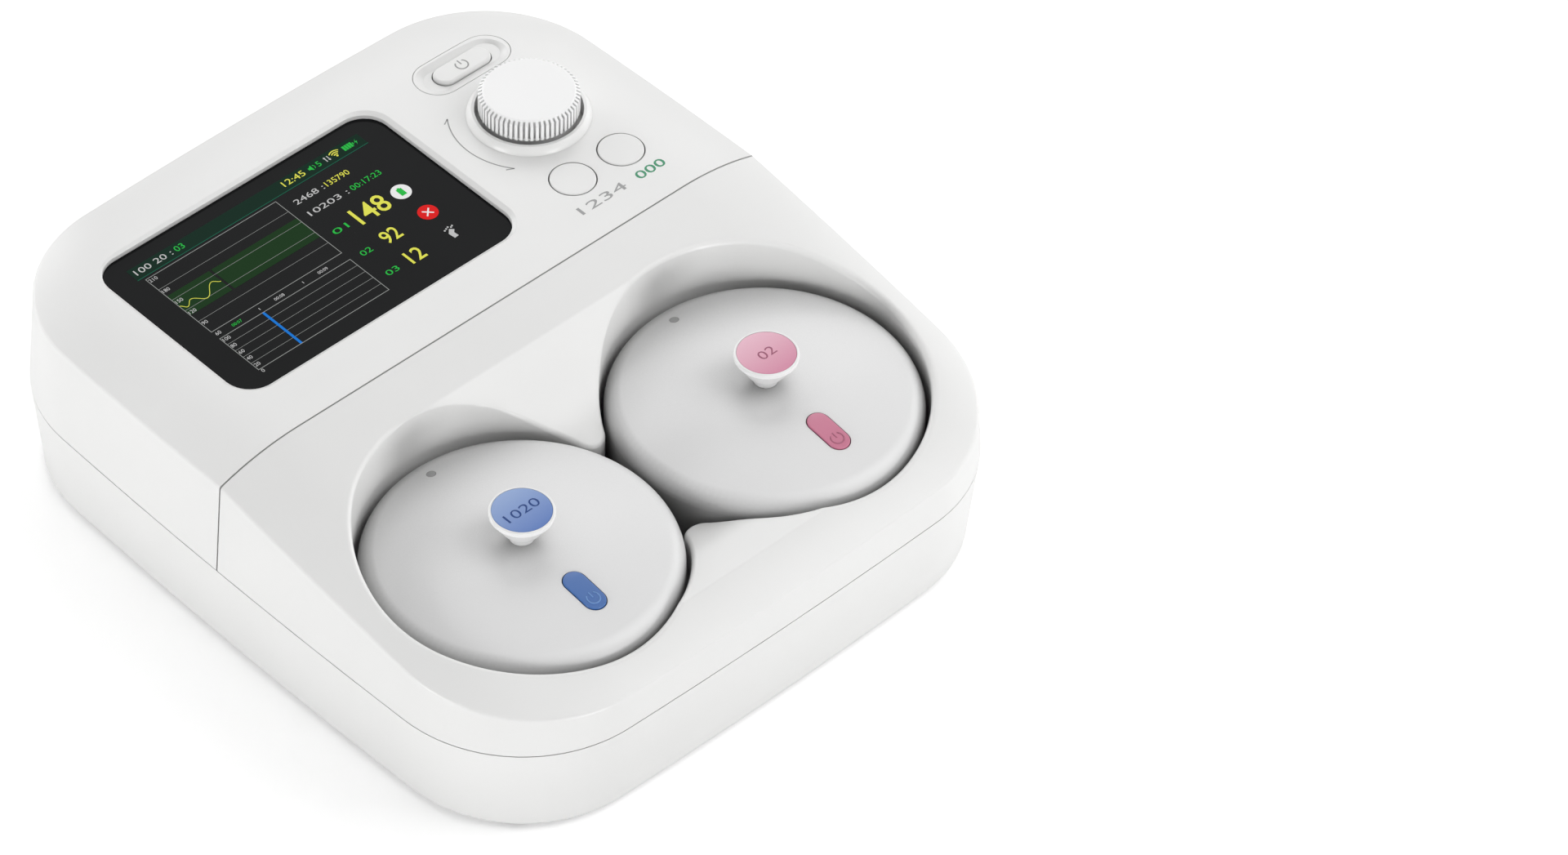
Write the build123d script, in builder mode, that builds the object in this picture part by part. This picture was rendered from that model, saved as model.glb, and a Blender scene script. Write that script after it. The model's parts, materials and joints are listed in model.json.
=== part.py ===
"""Tabletop fetal monitor: a charging dock with a display, a rotary selector and keys,
and two wireless belt probes that stand in round wells and lift out.

Millimetres. +Z is up, the front faces -Y, and the origin is on the table under the
middle of the dock. Heights are measured from the table unless a name says otherwise.
"""
import os
from math import cos, radians, sqrt, tan

from build123d import *

os.makedirs("parts", exist_ok=True)

# ---- dock body -------------------------------------------------------------------
side_bow = 1990.0           # radius of the slightly bowed left and right sides
end_bow = 1940.0            # radius of the slightly bowed front and back
corner_radius = 43.3
wall = 2.4
floor_wall = 2.6
foot_height = 1.2           # how far the rubber feet stand out of the floor
lower_height = 29.7         # lower housing, bottom edge to parting line
upper_height = 34.9         # parting line to the rear deck
lower_taper = 2.6           # the lower housing narrows by this towards its bottom
upper_draft = 2.6           # the upper shells narrow by this towards the deck
crown_width = 29.5          # rounded margin of the deck, measured in from the outline
crown_radius = 80.0
edge_round = 1.2            # where the crown meets the side wall
bottom_round = 1.2          # lower edge of the housing
groove_height = 0.35        # shadow line under the parting line
groove_depth = 0.6
deck_tilt = 9.5             # degrees that the front deck falls towards the front
seam_gap = 0.45             # between the rear cover and the front tray
front_crown_shift = 3.5     # the deck's front margin is narrower than its sides

# ---- wells and the trough between them ---------------------------------------------
probe_radius = 44.0
probe_gap = 1.4             # between the two probes in their wells
well_clearance = 1.3
well_side_land = 10.0       # deck beside a well, out to the parting line
well_front_land = 11.0      # deck in front of the wells
well_back_land = 15.8       # deck between the wells and the seam
well_nose = 5.0             # radius of the two tongues between the wells
cradle_drop = 30.3          # deck to the line where the cradle takes over the well wall
cradle_room = 11.9          # dock's floor to the cradle's underside
well_rim_round = 1.6        # rounded edge round the wells and along the tongues' creases
rest_ring_height = 2.6
rest_ring_inset = 5.5       # probe's outside to the middle of the ring that it stands on
rest_ring_width = 4.0
# the tongues between the wells: (distance in from the wells' rim, drop below the deck)
rear_tongue = [(4.4, 6.8), (9.7, 11.9), (17.6, 18.1), (26.1, 21.6)]
front_tongue = [(23.1, 24.5), (15.0, 20.9), (7.5, 19.5)]
trough_low = (4.8, 28.2)    # in front of the wells' axes, and its drop
tongue_wall = 3.1

# ---- probes ----------------------------------------------------------------------
probe_wall_height = 26.6    # underside to where the dome starts
dome_radius = 186.6
dome_edge_round = 6.0
probe_foot_round = 3.0
probe_split = 10.0          # underside to the joint between base and top shell
probe_wall = 2.0
base_wall = 3.0             # side wall of the base shell
stud_head_radius = 9.0
stud_height = 10.0          # dome top to stud top
stud_rim_height = 1.3       # upright edge of the head
stud_collar_radius = 5.0    # foot of the cone under the head
stud_collar_height = 2.6    # dome top to the foot of the cone
stud_neck_radius = 3.5
stud_shank_radius = 2.6
stud_seat_depth = 0.5       # the neck sits this deep in the shell
stud_lip = 0.73             # white rim round the coloured cap
stud_round = 0.35
stud_shank_reach = 1.0      # shank below the shell
stud_undercut = 0.4         # chamfer from the neck to the foot of the cone
cap_thickness = 1.0
cap_fit = 0.02
cap_round = 0.15
button_length = 14.1        # front to back
button_width = 6.5
button_gap = 0.25
button_y = -24.7            # from the probe's axis
button_proud = 0.35
button_round = 0.3
button_depth = 4.0          # top of the shell's inside to the button's flange
button_travel = 0.5
probe_board_inset = 6.0     # probe's outside to its board's edge
probe_board_height = 17.3   # underside of the probe to its board
probe_post_inset = 3.0      # board's edge to the posts under it
probe_post_count = 3
probe_post_radius = 2.4
probe_battery_size = (34.0, 26.0, 5.0)
probe_battery_corner = 2.0
led_inset = 7.6             # probe's outside to its indicator light
led_radius = 1.3
led_gap = 0.3               # board to the foot of the light pipe
plunger_radius = 9.0
plunger_reach = 1.8         # how far the pressure plunger stands out of the underside
plunger_travel = 1.0
plunger_flange = 1.6        # width of the ring that keeps the plunger in
plunger_round = 0.8
load_cell_size = (34.0, 10.0, 3.0)
load_cell_foot = 6.0
lens_radius = 28.0          # acoustic face of the heartbeat probe
lens_reach = 1.2
lens_flange = 2.0
lens_flange_thickness = 0.8
lens_round = 0.9
crystal_radius = 4.0
crystal_thickness = 1.0
crystal_ring_radius = 15.0
crystal_count = 6

# ---- controls --------------------------------------------------------------------
control_inset = 40.8        # dock's right side to the column of controls
knob_inset = 58.8           # dock's back to the knob's axis
key_distance = 28.1         # knob's axis to the row of round keys
power_distance = 28.3       # knob's axis to the power key
knob_radius = 14.4
knob_rise = 9.1             # deck to the knob's face
knob_face_radius = 12.8
knob_bevel = 1.05           # height of the bevel round the knob's face
knob_edge_round = 0.35
knurl_rise = 2.7            # deck to the lower end of the knurl
knurl_count = 60
knurl_depth = 1.2
knurl_width = 0.62
skirt_radius = 13.3
skirt_gap = 1.0             # pit floor to the knob's underside
nut_clearance = 0.9
hub_clearance = 0.4         # knob to what stands inside it
collar_rise = 2.3           # deck to the top of the collar round the knob
collar_radius = 15.4        # inside of the collar
collar_crest = 0.86         # width of the collar's level top
collar_spread = 2.4         # width of the collar at the deck
collar_bend = (0.72, 0.62)  # where its outer curve bends, as shares of width and height
pit_depth = 3.6             # knob pit, below the deck
pit_wall = 1.6
shaft_radius = 3.0
running_clearance = 0.05
key_radius = 6.55
key_gap = 0.35
key_spread = 18.1
key_travel = 0.5
key_proud = 0.25
key_round = 0.4
power_length = 19.6
power_width = 7.3
power_gap = 0.25
dish_length = 32.1
dish_width = 14.3
dish_gap = 0.15
dish_depth = 1.3
dish_slope_width = 2.9
dish_lip = 0.4
dish_flange = 1.5           # width and thickness of the dish's flange under the deck
power_proud = 1.1           # power key above the dish's floor
power_round = 0.9
key_flange = 1.2            # width and thickness of the ring that keeps a key in
key_stem_radius = 2.0
stop_gap = 0.05             # a key's flange to the shell above it
key_room = 0.3              # the same under the rounded margin of the deck

# ---- display ---------------------------------------------------------------------
screen_width = 100.8        # display window, inside its bevel
screen_length = 66.3
screen_shift = 22.5         # window's middle, left of the dock's
screen_back_land = 25.4     # window to the dock's back
screen_to_seam = 17.9
screen_corner = 8.5
screen_depth = 2.1          # deck to glass
screen_bevel_width = 1.3
screen_bevel_depth = 0.9
glass_thickness = 1.1
glass_clearance = 0.15
frame_margin = 5.0
frame_thickness = 2.6
lcd_margin = 2.4            # window edge to the edge of the panel
lcd_backing = 1.5
lcd_lip = 2.0               # how far the panel's backing overlaps the frame
frame_screw_offset = 2.6     # window edge to the screws of the frame
frame_screw_end = 9.0
frame_screw_radius = 0.9
frame_screw_head = (1.8, 1.1)
frame_screw_bite = 1.6
frame_screw_room = 0.2      # screw's tip to the end of its hole

# ---- inside the dock -------------------------------------------------------------
board = 1.6                 # thickness of every circuit board
post_radius = 3.0
snug = 0.1                  # clearance round a piece that drops into its pocket
post_inset = 5.0            # edge of the main board to the posts under it
join = 0.5                  # how far a boss or post runs into the wall that carries it
cut_margin = 1.0            # how far a cut runs past what it cuts
boss_radius = 3.8
socket_radius = 4.0         # lower half of each screw boss
screw_radius = 1.5
screw_clearance = 0.2
screw_head_radius = 2.4
screw_head_height = 2.2
screw_head_clearance = 0.2
screw_recess = (3.2, 0.7, 1.2)
screw_fit = 0.02
screw_bite = 8.0            # screw length inside the upper boss
pilot_room = 1.5            # pilot hole past the screw's end
head_recess = 18.0          # counterbore depth, from the floor's underside
screw_side_inset = 8.0      # the screws beside the seam, from the dock's sides
screw_to_seam = 9.0
front_screw_inset = (18.0, 17.5)
back_screw_inset = (16.0, 21.5)
foot_radius = 8.0
foot_recess = 0.8
foot_round = 0.5
foot_inset = (30.0, 29.5)
cradle_post_reach = 35.3    # well axis to the outer posts under the cradle
cradle_post_step = (14.7, 40.8)  # well axis to the inner posts, inwards and to front and rear
fence_wall = 1.6            # walls that locate the battery and the speaker
fence_height = 4.5
fence_corner = 10.0         # length of fence kept at each end of the battery's long sides
battery_size = (120.0, 62.0, 7.4)
battery_corner = 3.0
main_board_size = (100.0, 76.0)
main_board_x = 10.0
main_board_back_gap = 7.5   # board's rear edge to the dock's back
main_board_lift = 20.2      # dock's floor to the board
shield_size = (34.0, 28.0, 3.2)
shield_wall = 0.4
shield_offset = (-20.0, 6.0)
speaker_radius = 19.0
speaker_height = 12.0
speaker_rim = 3.0
speaker_basket = 6.5
magnet_radius = 11.8
speaker_inset = (34.0, 59.5)
grille_slot = (24.0, 1.8)
grille_pitch = 5.0
grille_count = 7
inlet_x = 22.0
inlet_size = (8.9, 3.2, 11.0)
inlet_wall = 0.35
inlet_back = 2.0
inlet_port_gap = 0.3
inlet_recess = 0.5          # mouth of the inlet behind the back wall's face
inlet_tongue = (6.2, 0.7)
control_board_size = (40.0, 78.0)
control_post_radius = 2.2
control_post_inset = (2.5, 3.5)
encoder_size = (13.0, 12.0, 5.6)
encoder_base = 1.0          # under the shaft's bore
bushing_radius = 3.5
bushing_length = 4.4
encoder_nut = (9.0, 1.0)    # across flats, thickness
shaft_reach = 7.0           # shaft above the bushing
shaft_float = 0.2           # shaft's end above the bottom of its bore
switch_size = 6.0
switch_height = 3.1
switch_button_radius = 1.7
switch_button_height = 0.9
pin_radius = 1.0
pin_pitch = 5.0
pin_inset = 3.5             # rest ring to the row of charging pins
pad_radius = 1.9
charge_board_end = 6.3      # last pin to the end of the board
charge_board_width = 9.0
charge_board_drop = 2.0     # cradle floor to the board under it
charge_post_radius = 2.2
charge_post_inset = 3.0

# ---- worked out from the above ---------------------------------------------------
well_radius = probe_radius + well_clearance
well_x = probe_radius + probe_gap / 2
half_width = well_x + well_radius + well_side_land
dock_parts = [
    screen_back_land, screen_length, screen_to_seam,
    well_back_land, 2 * well_radius, well_front_land,
]
half_depth = sum(dock_parts) / 2
screen_left = -screen_shift - screen_width / 2
screen_right = screen_left + screen_width
screen_back = half_depth - screen_back_land
screen_front = screen_back - screen_length
seam_y = screen_front - screen_to_seam
well_y = seam_y - well_back_land - well_radius
trough_start = well_y + well_radius
trough_end = well_y - well_radius
shell_bottom = foot_height
parting = shell_bottom + lower_height
deck = parting + upper_height
floor_top = shell_bottom + floor_wall
cradle_floor = floor_top + cradle_room
cradle_floor_top = cradle_floor + wall
cradle_top = deck - cradle_drop
probe_seat = cradle_floor_top + rest_ring_height
rest_ring_radius = probe_radius - rest_ring_inset
pin_y = rest_ring_width / 2 + pin_inset - rest_ring_radius
probe_board_radius = probe_radius - probe_board_inset
probe_post_ring_radius = probe_board_radius - probe_post_inset
led_y = probe_radius - led_inset
control_x = half_width - control_inset
knob_y = half_depth - knob_inset
key_y = knob_y - key_distance
power_y = knob_y + power_distance
knob_top = deck + knob_rise
knurl_bottom = deck + knurl_rise
collar_top = deck + collar_rise
deck_underside = deck - floor_wall
glass_top = deck - screen_depth
glass_bottom = glass_top - glass_thickness
pit_floor = deck - pit_depth
pit_underside = pit_floor - pit_wall
control_board_top = pit_underside - encoder_size[2]
switch_top = control_board_top + switch_height + switch_button_height
dome_centre = probe_seat + probe_wall_height - sqrt(dome_radius**2 - probe_radius**2)
dome_top = dome_centre + dome_radius
dish_floor = deck - dish_depth
dish_bottom = deck_underside - dish_flange
shaft_top = pit_underside + bushing_length + shaft_reach
switch_gap = key_travel + 2 * stop_gap
button_gap_below = button_travel + 2 * stop_gap
main_board_height = floor_top + main_board_lift
main_board_place = (main_board_x, half_depth - main_board_back_gap - main_board_size[1] / 2)
shield_place = (main_board_place[0] + shield_offset[0], main_board_place[1] + shield_offset[1])
speaker_place = (speaker_inset[0] - half_width, half_depth - speaker_inset[1])
foot_x = half_width - foot_inset[0]
foot_y = half_depth - foot_inset[1]
seam_rear = seam_y + seam_gap / 2
seam_front = seam_y - seam_gap / 2
key_places = [control_x - key_spread / 2, control_x + key_spread / 2]
control_board_place = (control_x, (key_y + power_y) / 2)
charge_board_size = (2 * (well_x + pin_pitch + charge_board_end), charge_board_width)
screw_spots = [
    (half_width - front_screw_inset[0], front_screw_inset[1] - half_depth),
    (half_width - screw_side_inset, seam_y - screw_to_seam),
    (half_width - screw_side_inset, seam_y + screw_to_seam),
    (half_width - back_screw_inset[0], half_depth - back_screw_inset[1]),
]


def save(piece, label):
    """Label a finished piece and write it."""
    piece.part.label = label
    export_step(piece.part, f"parts/{label}.step")


def body_outline(height, inset=0.0, depth=half_depth):
    """The dock's plan: a bowed rectangle with round corners, drawn in by inset."""
    with BuildSketch(Plane.XY.offset(height)) as outline:
        with Locations((half_width - side_bow, 0)):
            Circle(side_bow - inset)
        with Locations((side_bow - half_width, 0)):
            Circle(side_bow - inset, mode=Mode.INTERSECT)
        with Locations((0, depth - end_bow)):
            Circle(end_bow - inset, mode=Mode.INTERSECT)
        with Locations((0, end_bow - depth)):
            Circle(end_bow - inset, mode=Mode.INTERSECT)
        fillet(outline.vertices(), corner_radius - inset)
    return outline.sketch


def crown_cutter(depth, lowered):
    """Ring that trims the deck's margin to a shallow arc falling towards the outline."""
    path = body_outline(deck - lowered, depth=depth).face().outer_wire()
    inward = Vector(0, 0, 1).cross(path % 0)
    overhang = 4.0
    far = crown_width + overhang
    drop = crown_radius - sqrt(crown_radius**2 - far**2)
    half = far / 2
    half_drop = crown_radius - sqrt(crown_radius**2 - half**2)
    with BuildPart() as cutter:
        with BuildSketch(Plane(origin=path @ 0, x_dir=inward, z_dir=path % 0)):
            with BuildLine():
                ThreePointArc(
                    (crown_width, 0),
                    (crown_width - half, -half_drop),
                    (-overhang, -drop),
                )
                Polyline(
                    (-overhang, -drop), (-overhang, overhang),
                    (crown_width, overhang), (crown_width, 0),
                )
            make_face()
        sweep(path=path)
    return cutter.part


def reaches_parting(face):
    """True for the side walls of an upper block."""
    box = face.bounding_box()
    return box.min.Z < parting + 0.1 and box.size.Z > 1 and abs(face.normal_at().Y) < 0.999


def upper_block(front, inset=0.0, lowered=0.0):
    """Solid block under one half of the deck: level behind the seam, falling in front."""
    tilt = deck_tilt if front else 0.0
    run = half_depth + seam_y
    depth = half_depth + (run / cos(radians(tilt)) - run + front_crown_shift if front else 0)
    hinge = Axis((0, seam_y, deck - lowered), (1, 0, 0))
    cutter = crown_cutter(depth, lowered).rotate(hinge, tilt)
    top = Plane((0, seam_y, deck - lowered), x_dir=(1, 0, 0), z_dir=(0, 0, 1))
    seam = Plane((0, seam_front if front else seam_rear, 0), x_dir=(1, 0, 0), z_dir=(0, 1, 0))
    with BuildPart() as block:
        loft([body_outline(parting, inset), body_outline(deck, inset + upper_draft)], ruled=True)
        split(bisect_by=top.rotated((tilt, 0, 0)), keep=Keep.BOTTOM)
        split(bisect_by=seam, keep=Keep.BOTTOM if front else Keep.TOP)
        add(cutter, mode=Mode.SUBTRACT)
        if not inset:
            sides = block.faces().filter_by(lambda face: reaches_parting(face))
            rim = sides.edges().filter_by(lambda edge: edge.bounding_box().min.Z > parting + 1)
            fillet(rim.filter_by(lambda edge: edge.bounding_box().size.Y > seam_gap), edge_round)
    return block.part


def screen_outline(height, grow=0.0):
    """The display window, grown by the given margin."""
    width = screen_right - screen_left + 2 * grow
    length = screen_back - screen_front + 2 * grow
    middle = ((screen_left + screen_right) / 2, (screen_front + screen_back) / 2)
    with BuildSketch(Plane.XY.offset(height)) as window:
        with Locations(middle):
            RectangleRounded(width, length, screen_corner + grow)
    return window.sketch


def wells_outline(height, grow=0.0):
    """Both wells in plan, joined where they meet, with round tongues between them."""
    with BuildSketch(Plane.XY.offset(height)) as wells:
        with Locations((-well_x, well_y), (well_x, well_y)):
            Circle(well_radius + grow)
        fillet(wells.vertices(), well_nose - grow)
    return wells.sketch


def trough_region(lowered=0.0):
    """Everything above the falling surface of the two tongues."""
    rise = tan(radians(deck_tilt))
    start = (trough_start, deck - (seam_y - trough_start) * rise)
    end = (trough_end, deck - (seam_y - trough_end) * rise)
    rear = [(trough_start - inward, deck - drop) for inward, drop in rear_tongue]
    low = (well_y - trough_low[0], deck - trough_low[1])
    front = [(trough_end + inward, deck - drop) for inward, drop in front_tongue]
    high = deck + wall
    with BuildPart() as trough:
        with BuildSketch(Plane.YZ.offset(-well_x)):
            with BuildLine():
                Spline(start, *rear, low, *front, end)
                Polyline(end, (trough_end, high), (trough_start, high), start)
            make_face()
        extrude(amount=2 * well_x)
    return trough.part.moved(Location((0, 0, -lowered)))


def mirrored_spots(spots):
    """Each spot and its mirror image across the dock's middle."""
    return [(side * x, y) for x, y in spots for side in (-1, 1)]


front_spots = mirrored_spots([spot for spot in screw_spots if spot[1] < seam_y])
rear_spots = mirrored_spots([spot for spot in screw_spots if spot[1] > seam_y])


def on_well_rim(edge):
    """True for the top edges of the wells and for the creases of the tongues."""
    box = edge.bounding_box()
    within_x = max(-box.min.X, box.max.X) < well_x + well_radius + snug
    within_y = box.min.Y > trough_end - snug and box.max.Y < trough_start + snug
    return within_x and within_y and box.min.Z > parting + snug


def upright_section(x, y):
    """Plane through an upright axis, for turned pieces: radius along x, height along y."""
    return Plane(origin=(x, y, 0), x_dir=(1, 0, 0), z_dir=(0, -1, 0))


def turned(x, y, corners):
    """Piece turned about an upright axis, from its (radius, height) corners."""
    with BuildPart() as piece:
        with BuildSketch(upright_section(x, y)):
            with BuildLine():
                Polyline(*corners, close=True)
            make_face()
        revolve(axis=Axis((x, y, 0), (0, 0, 1)))
    return piece.part


def ring_edges(piece, radius):
    """The circular edges of one radius on a turned piece."""
    circles = piece.edges().filter_by(GeomType.CIRCLE)
    return circles.filter_by(lambda edge: abs(edge.radius - radius) < 0.001)


def domed_disc(x, y, radius, bottom, lift=0.0):
    """Round block under the probe's shallow dome, or under one parallel to it."""
    sphere = dome_radius + lift
    shoulder = dome_centre + sqrt(sphere**2 - radius**2)
    halfway = dome_centre + sqrt(sphere**2 - (radius / 2) ** 2)
    apex = dome_centre + sphere
    with BuildPart() as disc:
        with BuildSketch(upright_section(x, y)):
            with BuildLine():
                ThreePointArc((0, apex), (radius / 2, halfway), (radius, shoulder))
                Polyline((radius, shoulder), (radius, bottom), (0, bottom), (0, apex))
            make_face()
        revolve(axis=Axis((x, y, 0), (0, 0, 1)))
    return disc.part


# ---- lower housing ---------------------------------------------------------------
cradle_posts = mirrored_spots(
    [
        (well_x + cradle_post_reach, well_y),
        (well_x - cradle_post_step[0], well_y - cradle_post_step[1]),
        (well_x - cradle_post_step[0], well_y + cradle_post_step[1]),
    ]
)
board_posts = [
    (
        main_board_place[0] + side * (main_board_size[0] / 2 - post_inset),
        main_board_place[1] + end * (main_board_size[1] / 2 - post_inset),
    )
    for side in (-1, 1)
    for end in (-1, 1)
]
inlet_height = main_board_height + board + inlet_size[1] / 2

with BuildPart() as lower_cavity:
    loft([body_outline(floor_top, lower_taper + wall), body_outline(parting, wall)], ruled=True)
    with BuildSketch(Plane.XY.offset(floor_top)):
        with Locations(*front_spots, *rear_spots):
            Circle(socket_radius)
    extrude(amount=parting - floor_top, mode=Mode.SUBTRACT)

with BuildPart() as lower_housing:
    loft([body_outline(shell_bottom, lower_taper), body_outline(parting)], ruled=True)
    fillet(lower_housing.edges().group_by(Axis.Z)[0], bottom_round)
    # shadow line along the top edge
    extrude(body_outline(parting - groove_height), amount=groove_height, mode=Mode.SUBTRACT)
    extrude(body_outline(parting - groove_height, groove_depth), amount=groove_height)
    add(lower_cavity.part, mode=Mode.SUBTRACT)
    with BuildSketch(Plane.XY.offset(floor_top)):
        with Locations(*cradle_posts):
            Circle(post_radius)
    extrude(amount=cradle_floor - floor_top)
    with BuildSketch(Plane.XY.offset(floor_top)):
        with Locations(*board_posts):
            Circle(post_radius)
    extrude(amount=main_board_height - floor_top)
    # battery fence, kept at the corners
    with BuildSketch(Plane.XY.offset(floor_top)):
        with Locations((0, well_y)):
            Rectangle(battery_size[0] + 2 * fence_wall, battery_size[1] + 2 * fence_wall)
            Rectangle(battery_size[0] + 2 * snug, battery_size[1] + 2 * snug, mode=Mode.SUBTRACT)
            Rectangle(
                battery_size[0] - 2 * fence_corner,
                battery_size[1] + 4 * fence_wall,
                mode=Mode.SUBTRACT,
            )
    extrude(amount=fence_height)
    # speaker seat and grille
    with BuildSketch(Plane.XY.offset(floor_top)):
        with Locations(speaker_place):
            Circle(speaker_radius + fence_wall)
            Circle(speaker_radius + snug, mode=Mode.SUBTRACT)
    extrude(amount=fence_height)
    with BuildSketch(Plane.XY.offset(shell_bottom)):
        with Locations(speaker_place):
            with GridLocations(0, grille_pitch, 1, grille_count):
                SlotOverall(*grille_slot)
    extrude(amount=floor_wall, mode=Mode.SUBTRACT)
    # screws enter from below
    with Locations(*[Location((x, y, parting)) for x, y in front_spots + rear_spots]):
        Hole(screw_radius + screw_clearance)
    with BuildSketch(Plane.XY.offset(shell_bottom)):
        with Locations(*front_spots, *rear_spots):
            Circle(screw_head_radius + screw_head_clearance)
    extrude(amount=head_recess, mode=Mode.SUBTRACT)
    with BuildSketch(Plane.XY.offset(shell_bottom)):
        with GridLocations(2 * foot_x, 2 * foot_y, 2, 2):
            Circle(foot_radius + snug)
    extrude(amount=foot_recess, mode=Mode.SUBTRACT)
    # port for the charging lead, through the back wall
    with BuildSketch(Plane.XZ.offset(-half_depth - cut_margin)):
        with Locations((inlet_x, inlet_height)):
            SlotOverall(inlet_size[0] + 2 * inlet_port_gap, inlet_size[1] + 2 * inlet_port_gap)
    extrude(amount=2 * cut_margin + lower_taper + 2 * wall, mode=Mode.SUBTRACT)
save(lower_housing, "lower_housing")

# ---- rear cover ------------------------------------------------------------------
rear_block = upper_block(front=False)
rear_hollow = upper_block(front=False, inset=wall, lowered=floor_wall)
control_posts = [
    (
        control_x + side * (control_board_size[0] / 2 - control_post_inset[0]),
        control_board_place[1] + end * (control_board_size[1] / 2 - control_post_inset[1]),
    )
    for side in (-1, 1)
    for end in (-1, 1)
]
frame_screws = [
    (x, y)
    for x in (screen_left - frame_screw_offset, screen_right + frame_screw_offset)
    for y in (screen_front + frame_screw_end, screen_back - frame_screw_end)
]

with BuildPart() as rear_cavity:
    add(rear_hollow)
    with BuildSketch(Plane.XY.offset(parting)):
        with Locations(*rear_spots):
            Circle(boss_radius)
    extrude(amount=upper_height, mode=Mode.SUBTRACT)

with BuildPart() as rear_cover:
    add(rear_block)
    add(rear_cavity.part, mode=Mode.SUBTRACT)
    # posts that carry the control board
    with BuildSketch(Plane.XY.offset(control_board_top)):
        with Locations(*control_posts):
            Circle(control_post_radius)
    extrude(amount=deck_underside - control_board_top + join)
    with BuildSketch(Plane.XY.offset(parting)):
        with Locations(*rear_spots):
            Circle(screw_radius + screw_fit)
    extrude(amount=screw_bite + pilot_room, mode=Mode.SUBTRACT)
    # knob pit with its raised collar
    with BuildSketch(Plane.XY.offset(pit_underside)):
        with Locations((control_x, knob_y)):
            Circle(collar_radius + pit_wall)
    extrude(amount=deck_underside - pit_underside + join)
    with BuildSketch(Plane.XZ.offset(-knob_y)):
        with BuildLine():
            inner = control_x + collar_radius
            rim = inner + collar_crest
            foot = inner + collar_spread
            bend = (inner + collar_bend[0] * collar_spread, deck + collar_bend[1] * collar_rise)
            Polyline((inner, deck_underside), (inner, collar_top), (rim, collar_top))
            ThreePointArc((rim, collar_top), bend, (foot, deck - join / 2))
            Polyline((foot, deck - join / 2), (foot, deck_underside), (inner, deck_underside))
        make_face()
    revolve(axis=Axis((control_x, knob_y, 0), (0, 0, 1)))
    with BuildSketch(Plane.XY.offset(pit_floor)):
        with Locations((control_x, knob_y)):
            Circle(collar_radius)
    extrude(amount=collar_top - pit_floor + cut_margin, mode=Mode.SUBTRACT)
    with BuildSketch(Plane.XY.offset(pit_underside)):
        with Locations((control_x, knob_y)):
            Circle(bushing_radius + snug)
    extrude(amount=pit_depth, mode=Mode.SUBTRACT)
    # display window with its bevelled lip, and the pilot holes of its frame
    extrude(
        screen_outline(deck_underside - cut_margin),
        amount=floor_wall + 2 * cut_margin,
        mode=Mode.SUBTRACT,
    )
    loft(
        [
            screen_outline(deck - screen_bevel_depth),
            screen_outline(deck + 0.01, screen_bevel_width),
        ],
        ruled=True,
        mode=Mode.SUBTRACT,
    )
    with BuildSketch(Plane.XY.offset(glass_bottom)):
        with Locations(*frame_screws):
            Circle(frame_screw_radius + screw_fit)
    extrude(amount=deck_underside + frame_screw_bite - glass_bottom, mode=Mode.SUBTRACT)
    # openings for the round keys and the power dish
    with BuildSketch(Plane.XY.offset(deck_underside - cut_margin)):
        with Locations(*[(x, key_y) for x in key_places]):
            Circle(key_radius + key_gap)
        with Locations((control_x, power_y)):
            SlotOverall(dish_length + 2 * dish_gap, dish_width + 2 * dish_gap)
    extrude(amount=floor_wall + 2 * cut_margin, mode=Mode.SUBTRACT)
save(rear_cover, "rear_cover")

# ---- front tray ------------------------------------------------------------------
front_block = upper_block(front=True)
front_hollow = upper_block(front=True, inset=wall, lowered=floor_wall)

with BuildPart() as tray_cavity:
    add(front_hollow)
    extrude(wells_outline(parting, wall), amount=upper_height, mode=Mode.SUBTRACT)
    add(trough_region(tongue_wall), mode=Mode.SUBTRACT)
    with BuildSketch(Plane.XY.offset(parting)):
        with Locations(*front_spots):
            Circle(boss_radius)
    extrude(amount=upper_height, mode=Mode.SUBTRACT)

with BuildPart() as front_tray:
    add(front_block)
    extrude(wells_outline(parting), amount=upper_height + cut_margin, mode=Mode.SUBTRACT)
    add(trough_region(), mode=Mode.SUBTRACT)
    fillet(front_tray.edges().filter_by(lambda edge: on_well_rim(edge)), well_rim_round)
    add(tray_cavity.part, mode=Mode.SUBTRACT)
    # the well wall ends where the cradle takes over
    extrude(wells_outline(parting, wall), amount=cradle_top - parting, mode=Mode.SUBTRACT)
    with BuildSketch(Plane.XY.offset(parting)):
        with Locations(*front_spots):
            Circle(screw_radius + screw_fit)
    extrude(amount=screw_bite + pilot_room, mode=Mode.SUBTRACT)
save(front_tray, "front_tray")

# ---- charging cradle -------------------------------------------------------------
pin_row = [
    (side * well_x + step * pin_pitch, well_y + pin_y) for side in (-1, 1) for step in (-1, 0, 1)
]
charge_posts = mirrored_spots([(charge_board_size[0] / 2 - charge_post_inset, well_y + pin_y)])
charge_board_top = cradle_floor - charge_board_drop

with BuildPart() as charging_cradle:
    extrude(wells_outline(cradle_floor, wall), amount=cradle_top - cradle_floor)
    extrude(wells_outline(cradle_floor_top), amount=cradle_top, mode=Mode.SUBTRACT)
    with BuildSketch(Plane.XY.offset(cradle_floor_top)):
        with Locations((-well_x, well_y), (well_x, well_y)):
            Circle(rest_ring_radius + rest_ring_width / 2)
            Circle(rest_ring_radius - rest_ring_width / 2, mode=Mode.SUBTRACT)
    extrude(amount=rest_ring_height)
    with BuildSketch(Plane.XY.offset(charge_board_top)):
        with Locations(*charge_posts):
            Circle(charge_post_radius)
    extrude(amount=charge_board_drop)
    with BuildSketch(Plane.XY.offset(cradle_floor)):
        with Locations(*pin_row):
            Circle(pin_radius + snug)
    extrude(amount=wall, mode=Mode.SUBTRACT)
save(charging_cradle, "charging_cradle")

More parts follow.
